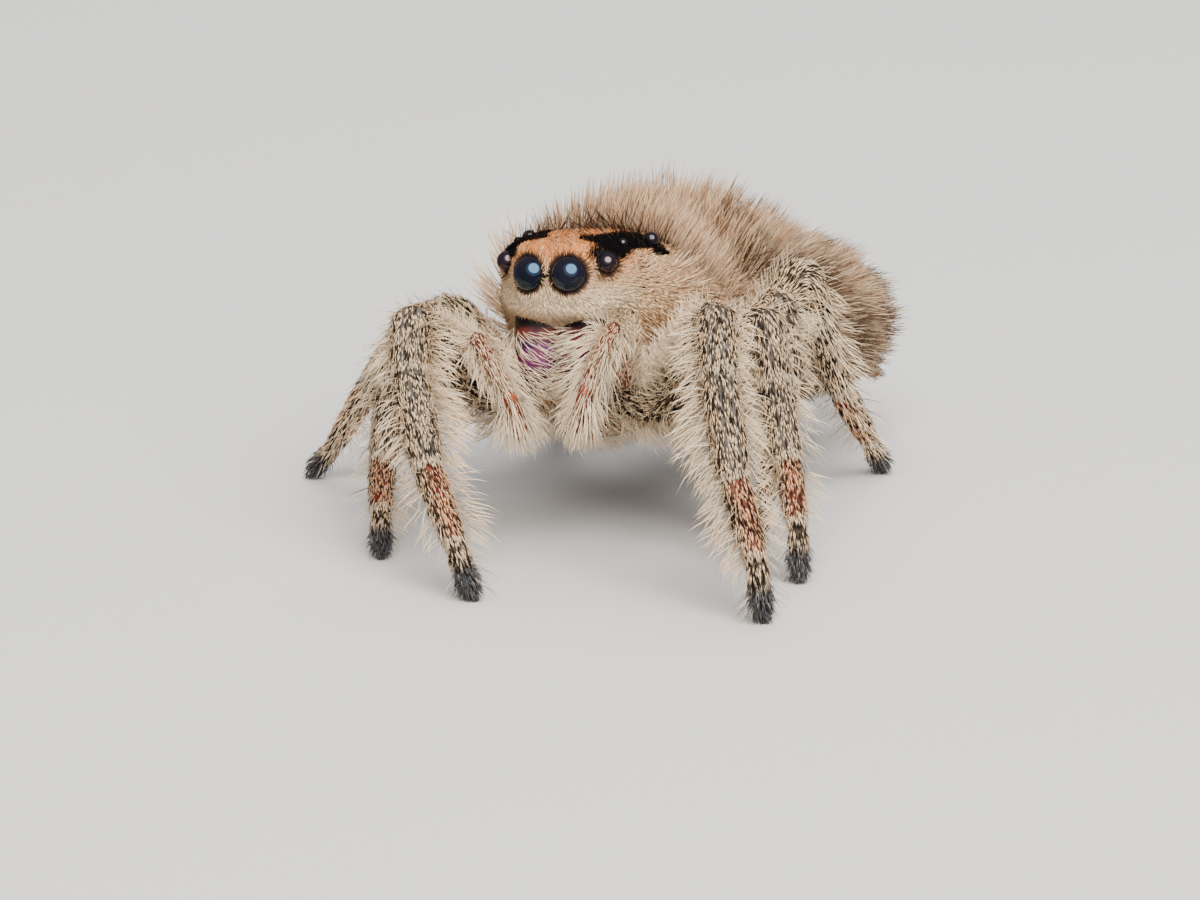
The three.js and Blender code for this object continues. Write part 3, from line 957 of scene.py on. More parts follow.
def eyeMaterial(kind):
    material, tree, surface = newMaterial(f"eye {kind}", eyeLooks[kind])
    dark = ramped(tree, grain(tree, 900), [(0, (0.002, 0.002, 0.004)), (1, (0.012, 0.008, 0.014))])
    tree.links.new(dark, surface["Base Color"])
    return material


def faceOutwards(mesh):
    work = bmesh.new()
    work.from_mesh(mesh)
    bmesh.ops.recalc_face_normals(work, faces=work.faces)
    work.to_mesh(mesh)
    work.free()
    smoothShaded(mesh)


def ball(centre, radius, columns=48, rings=28):
    lat = np.linspace(0, math.pi, rings + 1)[1:-1, None]
    lon = np.linspace(0, 2 * math.pi, columns, endpoint=False)
    ring = np.stack([np.sin(lat) * np.cos(lon), np.sin(lat) * np.sin(lon), np.cos(lat) + 0 * lon], axis=2)
    vertices, faces = closedRings(ring)
    vertices[-2:] = (0, 0, 1), (0, 0, -1)
    mesh = meshFrom("ball", vertices * radius + centre, faces)
    faceOutwards(mesh)
    return mesh


eyeMaterials = {kind: eyeMaterial(kind) for kind in eyePlan}
for kind, side, eyeCentre, eyeRadius in eyePlaces:
    finishPiece(f"eye_{kind}_{side}_lens", ball(eyeCentre, eyeRadius), eyeMaterials[kind],
                [f"eye_{kind}_{side}"])
print("eyes set")

# chelicerae, fangs and claws

jawPlan = {
    "root": (0.72, 0.98, -0.85),
    "tip": (0.6, 0.46, -3.05),
    "half": 0.68,
    "depth": 0.57,
    # colours from the top down, after the painted shadow at the top, and how far below the great eyes each
    # one sets in
    "tones": [(tone(96, 48, 38), 1.3, 1.45), (tone(96, 38, 82), 1.55, 1.85), (tone(50, 18, 22), 2.1, 2.7)],
    # near black at the top of each jaw: painted shadow under the lower edge of the face
    "topPaintedShadow": tone(12, 7, 6),
}
fangPlan = {"radius": 0.16, "knee": (-0.08, 0, -0.35), "point": (-0.3, 0.25, -0.5)}
clawPlan = {"radius": 0.028, "apart": 0.05, "reach": 0.19, "height": 0.03}


def jawMaterial():
    finish = {"Metallic": 0.2, "Roughness": 0.5, "Specular IOR Level": 0.25}
    material, tree, surface = newMaterial("chelicera", finish)
    cloud = grain(tree, 2200, 4)
    sheen = ramped(tree, cloud, [(0.35, (0.35, 0.3, 0.8)), (0.5, (1.0, 0.7, 1.1)), (0.65, (1.3, 0.75, 0.6))])
    tint = pointValue(tree, "skinTint", (-500, 300), "Color")
    tree.links.new(vectorMaths(tree, "MULTIPLY", tint, sheen, (-150, 150)), surface["Base Color"])
    roughened(tree, surface, cloud, 0.5, 0.03)
    return material


def hornMaterial():
    material, tree, surface = newMaterial("horn", {"Roughness": 0.25})
    dark = ramped(tree, grain(tree, 4000), [(0, (0.01, 0.006, 0.005)), (1, (0.06, 0.02, 0.012))])
    tree.links.new(dark, surface["Base Color"])
    return material


def loosePiece(path, section, rings, sideCount, name="loose"):
    form = tube(name, "loose", path, section, None, 0.0, rings, sideCount=sideCount)
    forms.remove(form)
    mesh = meshFrom(name, *closedRings(form["ring"]))
    faceOutwards(mesh)
    return mesh, form


def jawSection(s, length):
    ends = roundOff(s * length / 0.35) * roundOff((1 - s) * length / 0.6) * (1 - 0.18 * s)
    half, deep = jawPlan["half"] * ends, jawPlan["depth"] * ends
    return half, deep, deep, np.full_like(s, 2.3)


def spikeSection(radius):
    def section(s, length):
        size = radius * (1 - s) ** 0.8 * roundOff(s * length / 0.04) + 0.002
        return size, size, size, np.full_like(s, 2.0)
    return section


def joined(meshes, name):
    faces, start = [], 0
    for mesh in meshes:
        faces.extend([[start + i for i in polygon.vertices] for polygon in mesh.polygons])
        start += len(mesh.vertices)
    whole = meshFrom(name, np.vstack([positionsOf(mesh) for mesh in meshes]), faces)
    smoothShaded(whole)
    return whole


hornLook = hornMaterial()
jawLook = jawMaterial()
jawMeshes = {}
jawForms = []
fangs = []
for side, sign in sides.items():
    ends = [onHead(np.array(jawPlan[key]) * (sign, 1, 1)) for key in ("root", "tip")]
    jawMeshes[side], jawForm = loosePiece(ends, jawSection, 30, 32, f"jaw_{side}")
    jawForms.append(jawForm)
    fangRoot = ends[1] + headUp * 0.25 + headBack * 0.1
    bends = [np.array(fangPlan[key]) * (sign, 1, 1) @ headAxes for key in ("knee", "point")]
    fangPath = [fangRoot] + [fangRoot + bend for bend in bends]
    fangs.append(loosePiece(fangPath, spikeSection(fangPlan["radius"]), 14, 12)[0])
    shell = jawMeshes[side].copy()
    below = -toHead(positionsOf(shell))[:, 2]
    # each jaw starts near black at the top, a painted shadow under the face, then takes its own colours
    # downwards
    shade = jawPlan["topPaintedShadow"]
    for colour, start, end in jawPlan["tones"]:
        shade = mix(shade, colour, smoothStep(below, start, end))
    setPointData(shell, "skinTint", "FLOAT_COLOR", shade)
    finishPiece(f"chelicera_{side}_shell", shell, jawLook, [f"chelicera_{side}"])
finishPiece("fangs", joined(fangs, "fangs"), hornLook)


def clawPath(form, spread):  # two hooks stand before each foot
    toe = form["centre"][-1] - form["along"][-1] * 0.1
    ahead = unit(form["along"][-1] * np.array([1, 1, 0]))
    beside = np.cross(ahead, up) * spread
    root = toe + beside * clawPlan["apart"]
    point = root + ahead * clawPlan["reach"] + beside * 0.04
    return [root, root + ahead * 0.1 + up * 0.02 + beside * 0.02, np.append(point[:2], clawPlan["height"])]


feet = [form for form in forms if form["region"] == "tarsus"]
claws = [loosePiece(clawPath(form, spread), spikeSection(clawPlan["radius"]), 8, 6)[0]
         for form in feet for spread in (-1, 1)]
finishPiece("claws", joined(claws, "claws"), hornLook)
print("hard parts set")

# hair: shapes for single hairs, and the tree that plants them

hairCollections = {}


def hairShape(name, bend, width, thick, rows):  # one closed hair, pointed at both ends
    vertices, along = [(0, 0, 0)], [0.0]
    for z, share in rows:
        lean = bend * z ** 2
        w, t = width * share / 2, thick * share / 2
        vertices += [(lean - t, -w, z), (lean - t, w, z), (lean + t, 0, z)]
        along += [z] * 3
    vertices.append((bend, 0, 1))
    along.append(1.0)
    tip = len(vertices) - 1
    faces = []
    for j in range(3):
        k = (j + 1) % 3
        faces.append((0, 1 + k, 1 + j))
        for row in range(len(rows) - 1):
            a, b = 1 + row * 3 + j, 1 + row * 3 + k
            faces.append((a, b, b + 3, a + 3))
        faces.append((tip - 3 + j, tip - 3 + k, tip))
    mesh = meshFrom(name, vertices, faces)
    faceOutwards(mesh)
    setPointData(mesh, "hairAlong", "FLOAT", along)
    patch = [(0.15 + 0.35 * (i % 3), z, 0) for i, z in enumerate(along)]
    setPointData(mesh, "hairPatch", "FLOAT_VECTOR", patch)
    return mesh


def hairSet(name, bends, width, thick, rows):  # each measure is a share of the hair's length
    collection = bpy.data.collections.new(name)
    for number, bend in enumerate(bends):
        shape = hairShape(f"{name}_{number}", bend, width, thick, rows)
        collection.objects.link(bpy.data.objects.new(shape.name, shape))
    hairCollections[name] = collection


hairSet("scale", [0.06, 0.12, 0.2], 0.16, 0.06, [(0.45, 1.0)])
hairSet("pelt", [0.1, 0.2, 0.32], 0.095, 0.06, [(0.4, 1.0)])
hairSet("long", [0.1, 0.22, 0.34], 0.03, 0.024, [(0.28, 1.0), (0.68, 0.75)])
hairSet("fringe", [0.15, 0.28, 0.42, 0.56], 0.024, 0.02, [(0.3, 1.0), (0.7, 0.8)])
hairSet("curl", [0.32, 0.5, 0.7], 0.027, 0.021, [(0.3, 1.0), (0.7, 0.8)])
hairSet("mane", [0.06, 0.14, 0.24], 0.02, 0.017, [(0.28, 1.0), (0.68, 0.75)])
hairSet("bristle", [0.2, 0.36, 0.55], 0.021, 0.019, [(0.25, 1.0), (0.66, 0.7)])


def plantingTree():
    floats = ("Per Square Millimetre", "Length Spread", "Tangle", "Clump", "Clumps Per Millimetre",
              "Patch Size", "Lowest")
    tree, given = newGroup("plant hairs", "GeometryNodeTree",
                           [("Skin", "Geometry", None), ("Hairs", "Collection", None), ("Seed", "Int", None),
                            ("Material", "Material", None), *((name, "Float", None) for name in floats)],
                           [("Coat", "Geometry")])
    tree.is_modifier = True

    def stored(name, kind, at):
        node = addNode(tree, "GeometryNodeInputNamedAttribute", at, {"Name": name}, data_type=kind)
        return node.outputs["Attribute"]

    def store(geometry, name, value, at, **settings):
        feeds = {"Geometry": geometry, "Name": name, "Value": value}
        return addNode(tree, "GeometryNodeStoreNamedAttribute", at, feeds, **settings).outputs["Geometry"]

    def chance(kind, low, high, step, at):
        lowest, highest, result = {"FLOAT_VECTOR": (0, 1, 0), "FLOAT": (2, 3, 1), "INT": (4, 5, 2)}[kind]
        seed = maths(tree, "ADD", given["Seed"], step, (at[0] - 150, at[1]))
        node = addNode(tree, "FunctionNodeRandomValue", at, {lowest: low, highest: high, "Seed": seed},
                       data_type=kind)
        return node.outputs[result]

    # roots scattered over the skin, each with a number of its own
    share = stored("hairDensity", "FLOAT", (-1400, 300))
    density = maths(tree, "MULTIPLY", share, given["Per Square Millimetre"], (-1200, 250))
    scatter = addNode(tree, "GeometryNodeDistributePointsOnFaces", (-1000, 200),
                      {"Mesh": given["Skin"], "Density": density, "Seed": given["Seed"]},
                      distribute_method="RANDOM")
    roots = store(scatter.outputs["Points"], "hairChance", chance("FLOAT", 0.0, 1.0, 3, (-900, 0)),
                  (-700, 200), data_type="FLOAT", domain="POINT")

    # the way each hair grows: the lie of the coat, gathered in clumps and a little tangled
    clouds = addNode(tree, "ShaderNodeTexNoise", (-1200, -300), {"Scale": given["Clumps Per Millimetre"]},
                     noise_dimensions="3D")
    centred = vectorMaths(tree, "SUBTRACT", clouds.outputs["Color"], (0.5, 0.5, 0.5), (-1000, -300))
    clump = vectorMaths(tree, "SCALE", centred, given["Clump"], (-800, -300))
    anyWay = chance("FLOAT_VECTOR", (-1, -1, -1), (1, 1, 1), 1, (-1000, -500))
    tangle = vectorMaths(tree, "SCALE", anyWay, given["Tangle"], (-800, -500))
    lie = stored("hairGrow", "FLOAT_VECTOR", (-1000, -100))
    lean = vectorMaths(tree, "ADD", vectorMaths(tree, "ADD", lie, clump, (-600, -200)), tangle, (-450, -200))
    lean = vectorMaths(tree, "NORMALIZE", lean, None, (-300, -200))
    sweep = stored("hairSweep", "FLOAT_VECTOR", (-300, -400))
    turn = addNode(tree, "FunctionNodeAxesToRotation", (-100, -200), {0: lean, 1: sweep},
                   primary_axis="Z", secondary_axis="X")

    # its length
    shortest = maths(tree, "SUBTRACT", 1.0, given["Length Spread"], (-800, -700))
    extra = maths(tree, "MULTIPLY", chance("FLOAT", 0.0, 1.0, 2, (-800, -850)), given["Length Spread"],
                  (-600, -850))
    shown = maths(tree, "ADD", shortest, extra, (-450, -750))
    length = maths(tree, "MULTIPLY", shown, stored("hairLength", "FLOAT", (-450, -600)), (-250, -700))

    shapes = addNode(tree, "GeometryNodeCollectionInfo", (-500, 400),
                     {"Collection": given["Hairs"], "Separate Children": True, "Reset Children": True})
    plant = addNode(tree, "GeometryNodeInstanceOnPoints", (100, 200),
                    {"Points": roots, "Instance": shapes.outputs[0], "Pick Instance": True,
                     "Instance Index": chance("INT", 0, 999, 4, (-100, 0)), "Rotation": turn.outputs[0],
                     "Scale": length})
    solid = addNode(tree, "GeometryNodeRealizeInstances", (300, 200), {"Geometry": plant.outputs[0]})

    # no hair goes through the floor
    spot = addNode(tree, "GeometryNodeInputPosition", (300, 450)).outputs[0]
    axes = addNode(tree, "ShaderNodeSeparateXYZ", (450, 450), {0: spot}).outputs
    height = maths(tree, "MAXIMUM", axes["Z"], given["Lowest"], (600, 450))
    above = addNode(tree, "ShaderNodeCombineXYZ", (750, 450), {"X": axes["X"], "Y": axes["Y"], "Z": height})
    lifted = addNode(tree, "GeometryNodeSetPosition", (400, 200),
                     {"Geometry": solid.outputs[0], "Position": above.outputs[0]})

    # each hair's patch of the map lies where its root is on the skin's unwrap
    patch = vectorMaths(tree, "SCALE", stored("hairPatch", "FLOAT_VECTOR", (100, -100)), given["Patch Size"],
                        (300, -100))
    place = vectorMaths(tree, "ADD", patch, stored("skinMap", "FLOAT_VECTOR", (100, -300)), (500, -100))
    unwrapped = store(lifted.outputs[0], "OFBake", place, (500, 200), data_type="FLOAT2", domain="CORNER")
    painted = addNode(tree, "GeometryNodeSetMaterial", (700, 200),
                      {"Geometry": unwrapped, "Material": given["Material"]})
    addNode(tree, "NodeGroupOutput", (900, 200), {"Coat": painted.outputs[0]})
    return tree


planting = plantingTree()
coatSizes = {}
usualCoat = {"lengthSpread": 0.35, "tangle": 0.15, "clump": 0.0, "clumpsPerMm": 1.5, "patchSize": 0.003,
             "lowest": 0.012}
socketNames = {"perSquareMm": "Per Square Millimetre", "lengthSpread": "Length Spread", "tangle": "Tangle",
               "clump": "Clump", "clumpsPerMm": "Clumps Per Millimetre", "patchSize": "Patch Size",
               "lowest": "Lowest", "seed": "Seed"}

looks = {
    "face": hairMaterial("face hair", 0.74, 0.22, tone(255, 226, 180), 0.2),
    "velvet": hairMaterial("black velvet", 0.7, 0.5, tone(16, 14, 13), 0.1, roughness=0.8, specular=0.06),
    "thorax": hairMaterial("thorax hair", 0.6, 0.25, tone(255, 224, 180), 0.2),
    "fleece": hairMaterial("fleece", 0.32, 0.4, tone(255, 222, 182), 0.24),
    "down": hairMaterial("down", 0.6, 0.3, tone(250, 216, 178), 0.2),
    "scales": hairMaterial("leg scales", 0.85, 0.2, tone(38, 29, 22), 0.28),
    "fringe": hairMaterial("leg fringe", 0.7, 0.15, tone(255, 236, 204), 0.4, roughness=0.42, specular=0.28),
    "bristle": hairMaterial("bristles", 0.85, 0.4, tone(60, 32, 16), 0.25, roughness=0.4, specular=0.25),
    "foot": hairMaterial("foot tufts", 0.5, 0.5, tone(214, 204, 190), 0.06, roughness=0.6),
}


def plantCoat(name, plan, density, grow, sweep, tint, length=None, host=skinMesh):
    plan = {**usualCoat, **plan}
    mesh = host.copy()
    setPointData(mesh, "hairDensity", "FLOAT", np.clip(density, 0, None))
    setPointData(mesh, "hairLength", "FLOAT", plan["length"] if length is None else length)
    setPointData(mesh, "hairGrow", "FLOAT_VECTOR", grow)
    setPointData(mesh, "hairSweep", "FLOAT_VECTOR", sweep)
    setPointData(mesh, "coatTint", "FLOAT_COLOR", tint)
    piece = bpy.data.objects.new(name, mesh)
    modifier = piece.modifiers.new("plant", "NODES")
    modifier.node_group = planting
    look = looks[plan["look"]]
    values = {label: plan[key] for key, label in socketNames.items()}
    values.update({"Hairs": hairCollections[plan["hairs"]], "Material": look})
    for socket in planting.interface.items_tree:
        if socket.in_out == "INPUT" and socket.name in values:
            value = values[socket.name]
            modifier[socket.identifier] = float(value) if socket.socket_type == "NodeSocketFloat" else value
    coat = evaluated(piece, name)
    for extra in ("hairDensity", "hairLength", "hairGrow", "hairSweep", "hairPatch", "skinMap"):
        if coat.attributes.get(extra):
            coat.attributes.remove(coat.attributes[extra])
    coatSizes[name] = sum(len(polygon.vertices) - 2 for polygon in coat.polygons)
    print("coat", name, coatSizes[name], "triangles")
    finishPiece(name, coat, look)


def growing(lie, lift, normals=skinNormals):  # hair direction from its lie and its lift in degrees
    flat = unit(lie - (lie * normals).sum(axis=1, keepdims=True) * normals)
    angle = np.radians(np.broadcast_to(lift, len(flat)))[:, None]
    return normals * np.sin(angle) + flat * np.cos(angle), flat


def alongHead(left, back, above):  # directions given in the head's own axes
    return np.stack(np.broadcast_arrays(left, back, above), axis=-1) @ headAxes


def headFlow():  # the lie of the face hair: out from the eyes, then back and down over the cheeks
    below = fallStep(headZ, -0.9, 0.1)
    left = 0.25 * headSign + headSign * 0.5 * fallStep(headB, 0.2, 1.2) * below
    flow = np.stack(np.broadcast_arrays(left, 0.9, 0.25 - 0.9 * below), axis=1)
    for _, _, centre, radius in eyePlaces:
        offset = skin["head"] - toHead(centre)
        distance = np.linalg.norm(offset, axis=1)
        pull = 2.2 * np.exp(-np.maximum(distance - radius, 0) / (0.6 * radius + 0.05))
        flow = flow + pull[:, None] * offset / np.maximum(distance, 1e-6)[:, None]
    return flow @ headAxes


combHead = headFlow()
comb = evenOut(np.where(onCarapace[:, None] > 0, combHead, skin["along"]), 4)
depth = evenOut(skin["depth"], 6)
eyeClear = np.ones(len(skinPoints))
for _, _, eyeCentre, eyeRadius in eyePlaces:
    eyeClear *= smoothStep(np.linalg.norm(skinPoints - eyeCentre, axis=1) - eyeRadius, 0.03, 0.11)
inward = -skinNormals

# the face: short flat hair, thin where the dark skin shows through on the cheeks
faceHair = {"look": "face", "slot": "face", "hairs": "pelt", "perSquareMm": 880, "tangle": 0.12,
            "clump": 0.12, "clumpsPerMm": 3.0, "seed": 11, "length": 0.2, "chinLength": 0.12,
            "rearLength": 0.18, "thinned": 0.4}
fleckHair = {"look": "bristle", "slot": "face", "hairs": "pelt", "perSquareMm": 90, "tangle": 0.2, "seed": 10,
             "length": 0.26, "tint": tone(58, 38, 26)}
gaps = mottle(skinPoints, 5.5, 2.0)
cheek = onCarapace * smoothStep(headB, 0.5, 1.2) * fallStep(headB, 2.2, 3.2) * fallStep(headZ, 0.1, 0.6)
shaven = 1 - faceHair["thinned"] * cheek * smoothStep(gaps, 0.45, 0.7)
faceLength = (faceHair["length"] + faceHair["chinLength"] * fallStep(headZ, -0.7, 0.1)
              + faceHair["rearLength"] * smoothStep(headB, 0.5, 2.6))
faceShare = onCarapace * (1 - blackPatch) * eyeClear * fallStep(headB, 3.0, 3.8) * shaven
plantCoat("face_coat", faceHair, faceShare,
          growing(combHead, 14 + 12 * smoothStep(headB, 0.6, 2.4))[0], inward, coatTint, faceLength)
plantCoat("cheek_flecks", fleckHair,
          (cheek * smoothStep(gaps, 0.35, 0.65) + 0.3 * cheek) * eyeClear * (1 - blackPatch),
          growing(combHead, 24)[0], inward, fleckHair["tint"])

# black velvet round the small eyes, standing up from the head
velvet = {"look": "velvet", "slot": "face", "hairs": "pelt", "perSquareMm": 1300, "tangle": 0.22, "seed": 12,
          "length": 0.19, "lift": 62}
plantCoat("eye_patches", velvet, blackPatch * eyeClear, *growing(combHead, velvet["lift"]), colours["black"])

# lashes on the upper rims of the eyes
lashHair = {"look": "velvet", "slot": "face", "hairs": "long", "perSquareMm": 150, "tangle": 0.4, "seed": 9,
            "length": 0.3, "lift": 40}
plantCoat("lashes", lashHair, onCarapace * besideEyes(0.16) * smoothStep(headZ, 0.22, 0.4),
          *growing(headUp, lashHair["lift"]), colours["black"])

# thin dark bristles over the forehead, longest along the crown
browHair = {"look": "bristle", "slot": "face", "hairs": "bristle", "perSquareMm": 27, "tangle": 0.5,
            "seed": 13, "length": 0.5, "rearLength": 0.55, "tint": tone(50, 32, 22)}
crown = onCarapace * smoothStep(headZ, 0.3, 0.5) * fallStep(headB, 2.3, 2.9) * eyeClear
browLie = alongHead(-0.7 * headSign * np.abs(np.sin(5 * skin["head"][:, 0])), -0.2, 0.9)
plantCoat("head_bristles", browHair, crown,
          growing(browLie, 40 + 26 * smoothStep(headB, 1.2, 2.4))[0], -combHead, browHair["tint"],
          browHair["length"] + browHair["rearLength"] * smoothStep(headB, 0.8, 2.0))

# cream hair hanging over the gap below the face, and a longer beard along the lower edge of the cheek
lipHair = {"look": "fringe", "slot": "face", "hairs": "fringe", "perSquareMm": 230, "tangle": 0.3, "seed": 14,
           "length": 0.26, "lift": 14}
beardHair = {"look": "fringe", "slot": "face", "hairs": "fringe", "perSquareMm": 60, "tangle": 0.35,
             "clump": 0.4, "clumpsPerMm": 2.0, "seed": 8, "length": 0.75, "lift": 38}
lip = onCarapace * fallStep(headZ, -0.85, -0.62) * fallStep(headB, 0.6, 1.6) * smoothStep(headZ, -1.35, -1.1)
lipLie = alongHead(0.8 * np.sin(skin["head"][:, 0] * 9), -0.5, -1.0)
plantCoat("lip_fringe", lipHair, lip, growing(lipLie, lipHair["lift"])[0], inward, colours["cream"])
beard = onCarapace * fallStep(headZ, -1.5, -0.9) * smoothStep(headB, 0.5, 1.0) * fallStep(headB, 3.2, 4.2)
beardLie = alongHead(0.5 * headSign, 0.35, -0.7)
plantCoat("cheek_beard", beardHair, beard, *growing(beardLie, beardHair["lift"]), colours["cream"])

# thorax: smooth, longer backwards, with an upright mane over its rear slope
thoraxHair = {"look": "thorax", "slot": "face", "hairs": "long", "perSquareMm": 300, "tangle": 0.16,
              "clump": 0.3, "seed": 15, "length": 0.42, "rearLength": 0.5}
maneHair = {"look": "fleece", "slot": "face", "hairs": "mane", "perSquareMm": 150, "tangle": 0.2,
            "clump": 0.6, "clumpsPerMm": 1.2, "seed": 16, "length": 0.48, "reach": 0.9}
mane = onCarapace * maneAt(headB)
waist = regionMask("stalk")
plantCoat("thorax_coat", thoraxHair, onCarapace * smoothStep(headB, 2.2, 3.2) + 0.8 * waist,
          growing(comb, 26 + 16 * mane)[0], inward,
          mix(coatTint, colours["fleeceDark"], 0.2 * smoothStep(headB, 2.4, 4.0)),
          thoraxHair["length"] + thoraxHair["rearLength"] * np.maximum(mane, waist))
fan = (headSign * smoothStep(headX, 0.1, 1.6))[:, None] * headLeft
plantCoat("thorax_mane", maneHair,
          onCarapace * smoothStep(headB, 2.5, 3.4) * smoothStep(skin["vertical"], 0.0, 0.5),
          unit(0.35 * skinNormals + headUp + 0.3 * fan + 0.12 * headBack), headBack,
          mix(coatTint, colours["fleeceDark"], 0.38 * smoothStep(headB, 2.6, 4.0)),
          maneHair["length"] + maneHair["reach"] * depth)

# shoulders: loose cream hair behind the head and over the roots of the front legs
shoulderHair = {"look": "fringe", "slot": "fleece", "hairs": "fringe", "perSquareMm": 85, "tangle": 0.24,
                "clump": 0.9, "clumpsPerMm": 1.6, "seed": 30, "openLift": 54, "closedLift": 26,
                "openLength": 1.75, "closedLength": 1.05, "rootLength": 1.35}
shoulder = onCarapace * smoothStep(headB, 1.8, 2.4) * fallStep(headB, 3.2, 4.2)
shoulder *= smoothStep(skin["vertical"], -0.6, -0.2) * fallStep(skin["vertical"], 0.3, 0.6)
legRoot = regionMask("femur") * fallStep(skin["leg"], 2.5, 3.5) * smoothStep(skin["vertical"], 0.0, 0.5)
legRoot *= fallStep(skin["s"], 0.75, 0.95)
shoulderSide = np.where(onCarapace > 0, headSign, skin["side"])
opened = (shoulderSide < 0) | (onCarapace == 0)  # the head turns away from this side, and opens its hair
shoulderLie = np.where(opened[:, None], alongHead(0.5 * shoulderSide, -0.2, 0.8), comb + 0.3 * headUp)
shoulderLift = np.where(opened, shoulderHair["openLift"], shoulderHair["closedLift"])
shoulderLength = np.where(opened, shoulderHair["openLength"], shoulderHair["closedLength"])
plantCoat("shoulder_hair", shoulderHair, 0.55 * shoulder + legRoot, *growing(shoulderLie, shoulderLift),
          mix(colours["cream"], coatTint, 0.5 + 0.35 * onCarapace),
          shoulderLength * shoulder + (shoulderHair["rootLength"] - 0.6 * skin["s"]) * legRoot)

# abdomen: a short dense layer, and long hair in bunches that stands up at the front
downHair = {"look": "down", "slot": "fleece", "hairs": "pelt", "perSquareMm": 190, "tangle": 0.22,
            "clump": 0.5, "seed": 17, "length": 0.4, "reach": 0.24, "tailLength": 0.3, "lift": 34}
fleeceHair = {"look": "fleece", "slot": "fleece", "hairs": "mane", "tangle": 0.12, "clump": 1.7,
              "clumpsPerMm": 1.6, "length": 0.14, "reach": 0.86, "lift": 42, "frontLift": 32}
fleeceParts = {  # from and to along the abdomen, and hairs per square millimetre
    "front": (-1, 0.36, {**fleeceHair, "perSquareMm": 150, "seed": 18}),
    "back": (0.36, 2, {**fleeceHair, "perSquareMm": 100, "seed": 19}),
}
spinneret = regionMask("spinneret")
plantCoat("abdomen_under", downHair, onAbdomen + spinneret,
          growing(comb, downHair["lift"])[0], inward, coatTint,
          (downHair["length"] + downHair["reach"] * depth) * onAbdomen + downHair["tailLength"] * spinneret)
erect = fleeceHair["lift"] + (fleeceHair["frontLift"] * fallStep(skin["s"], 0.25, 0.8)
                              * smoothStep(skin["vertical"], -0.1, 0.6))
fleeceGrow, fleeceFlat = growing(comb, erect)
upright = fallStep(skin["s"], 0.12, 0.42) * smoothStep(skin["vertical"], -0.2, 0.5)
fleeceGrow = unit(mix(fleeceGrow, unit(0.35 * skinNormals + up + 0.15 * skin["along"]), upright))
slant = np.sin(np.radians(np.minimum(erect + 12, 85)))
bunches = 0.62 + 0.68 * mottle(skinPoints, 1.3, 21.0)
fleeceLength = (fleeceHair["length"] + fleeceHair["reach"] * depth / slant) * bunches
for piece, (start, end, plan) in fleeceParts.items():
    plantCoat(f"abdomen_fleece_{piece}", plan, onAbdomen * (skin["s"] > start) * (skin["s"] <= end),
              fleeceGrow, fleeceFlat, coatTint, fleeceLength)

# legs: flat pale scales over dark skin, thin on the bare stripes and at the joints
scaleHair = {"look": "scales", "slot": "salted", "hairs": "scale", "perSquareMm": 205, "tangle": 0.16,
             "length": 0.3, "lift": 16}
ringHair = {"look": "down", "slot": "salted", "hairs": "scale", "perSquareMm": 380, "tangle": 0.1, "seed": 20,
            "length": 0.27, "lift": 24, "tint": tone(255, 230, 196)}
thigh = regionMask("femur") * fallStep(skin["vertical"], -0.1, 0.6)  # the underside of the femur
toe = regionMask("tarsus") * smoothStep(skin["s"], 0.35, 0.55)
breast = regionMask("sternum")  # its hair goes with the left legs
scaled = (1 - 0.5 * stripe) * (1 - darkLine) * (1 - 0.9 * paleRing) * (1 - 0.8 * toe) * (1 - 0.5 * thigh)
for side, sign in sides.items():
    mine = (skin["side"] == sign) * onLegs + breast * (sign > 0)
    plantCoat(f"leg_scales_{side}", {**scaleHair, "seed": 21 if sign > 0 else 22}, mine * scaled,
              growing(comb, scaleHair["lift"])[0], inward, coatTint)
plantCoat("leg_rings", ringHair, paleRing, growing(comb, ringHair["lift"])[0], inward, ringHair["tint"])

# long pale fringes down both sides of each leg, thickest towards the head
fringeHair = {"look": "fringe", "slot": "salted", "hairs": "fringe", "perSquareMm": 50, "tangle": 0.24,
              "clump": 0.35, "clumpsPerMm": 2.4, "length": 0.32, "reach": 1.05, "innerReach": 0.35,
              "lift": 72}
beside = smoothStep(legSide, 0.55, 0.9)
under = smoothStep(-skin["vertical"], 0.2, 0.8)
inner = smoothStep(-skin["side"] * skinNormals[:, 0], 0.1, 0.8)
frontPair = fallStep(skin["leg"], 1.0, 3.0)
fringeShare = np.clip(0.75 * beside + (0.5 + 0.5 * frontPair) * inner + 0.3 * under + 1.4 * thigh, 0, 2)
fringeShare *= (1 - 0.35 * regionMask("tarsus")) * (1 - 0.6 * darkLine)
fringeTint = evenOut(mix(colours["legCream"], coatTint, 0.3 + 0.6 * regionMask("tarsus")), 1)
fringeReach = fringeHair["reach"] + fringeHair["innerReach"] * inner * frontPair
fringeLength = fringeHair["length"] + fringeReach * depth
for side, sign in sides.items():
    mine = (skin["side"] == sign) * onLegs * fringeShare + 1.7 * breast * (sign > 0)
    plantCoat(f"leg_fringe_{side}", {**fringeHair, "seed": 23 if sign > 0 else 24}, mine,
              *growing(comb, fringeHair["lift"]), fringeTint, fringeLength)

# a few long black bristles on the legs, most at the knees
spineHair = {"look": "bristle", "slot": "salted", "hairs": "bristle", "perSquareMm": 3.6, "tangle": 0.35,
             "seed": 25, "length": 0.4, "reach": 0.8, "lift": 52, "tint": tone(34, 26, 22)}
knee = (regionMask("patella") * fallStep(skin["s"], 0.1, 0.4)
        + regionMask("femur") * smoothStep(skin["s"], 0.85, 0.95))
upper = onLegs * (1 - regionMask("tarsus")) * smoothStep(skin["vertical"], -0.5, 0.5)
plantCoat("leg_bristles", spineHair, upper * (1 + 2.5 * knee), *growing(comb, spineHair["lift"]),
          spineHair["tint"], spineHair["length"] + spineHair["reach"] * depth + 0.15 * regionMask("femur"))

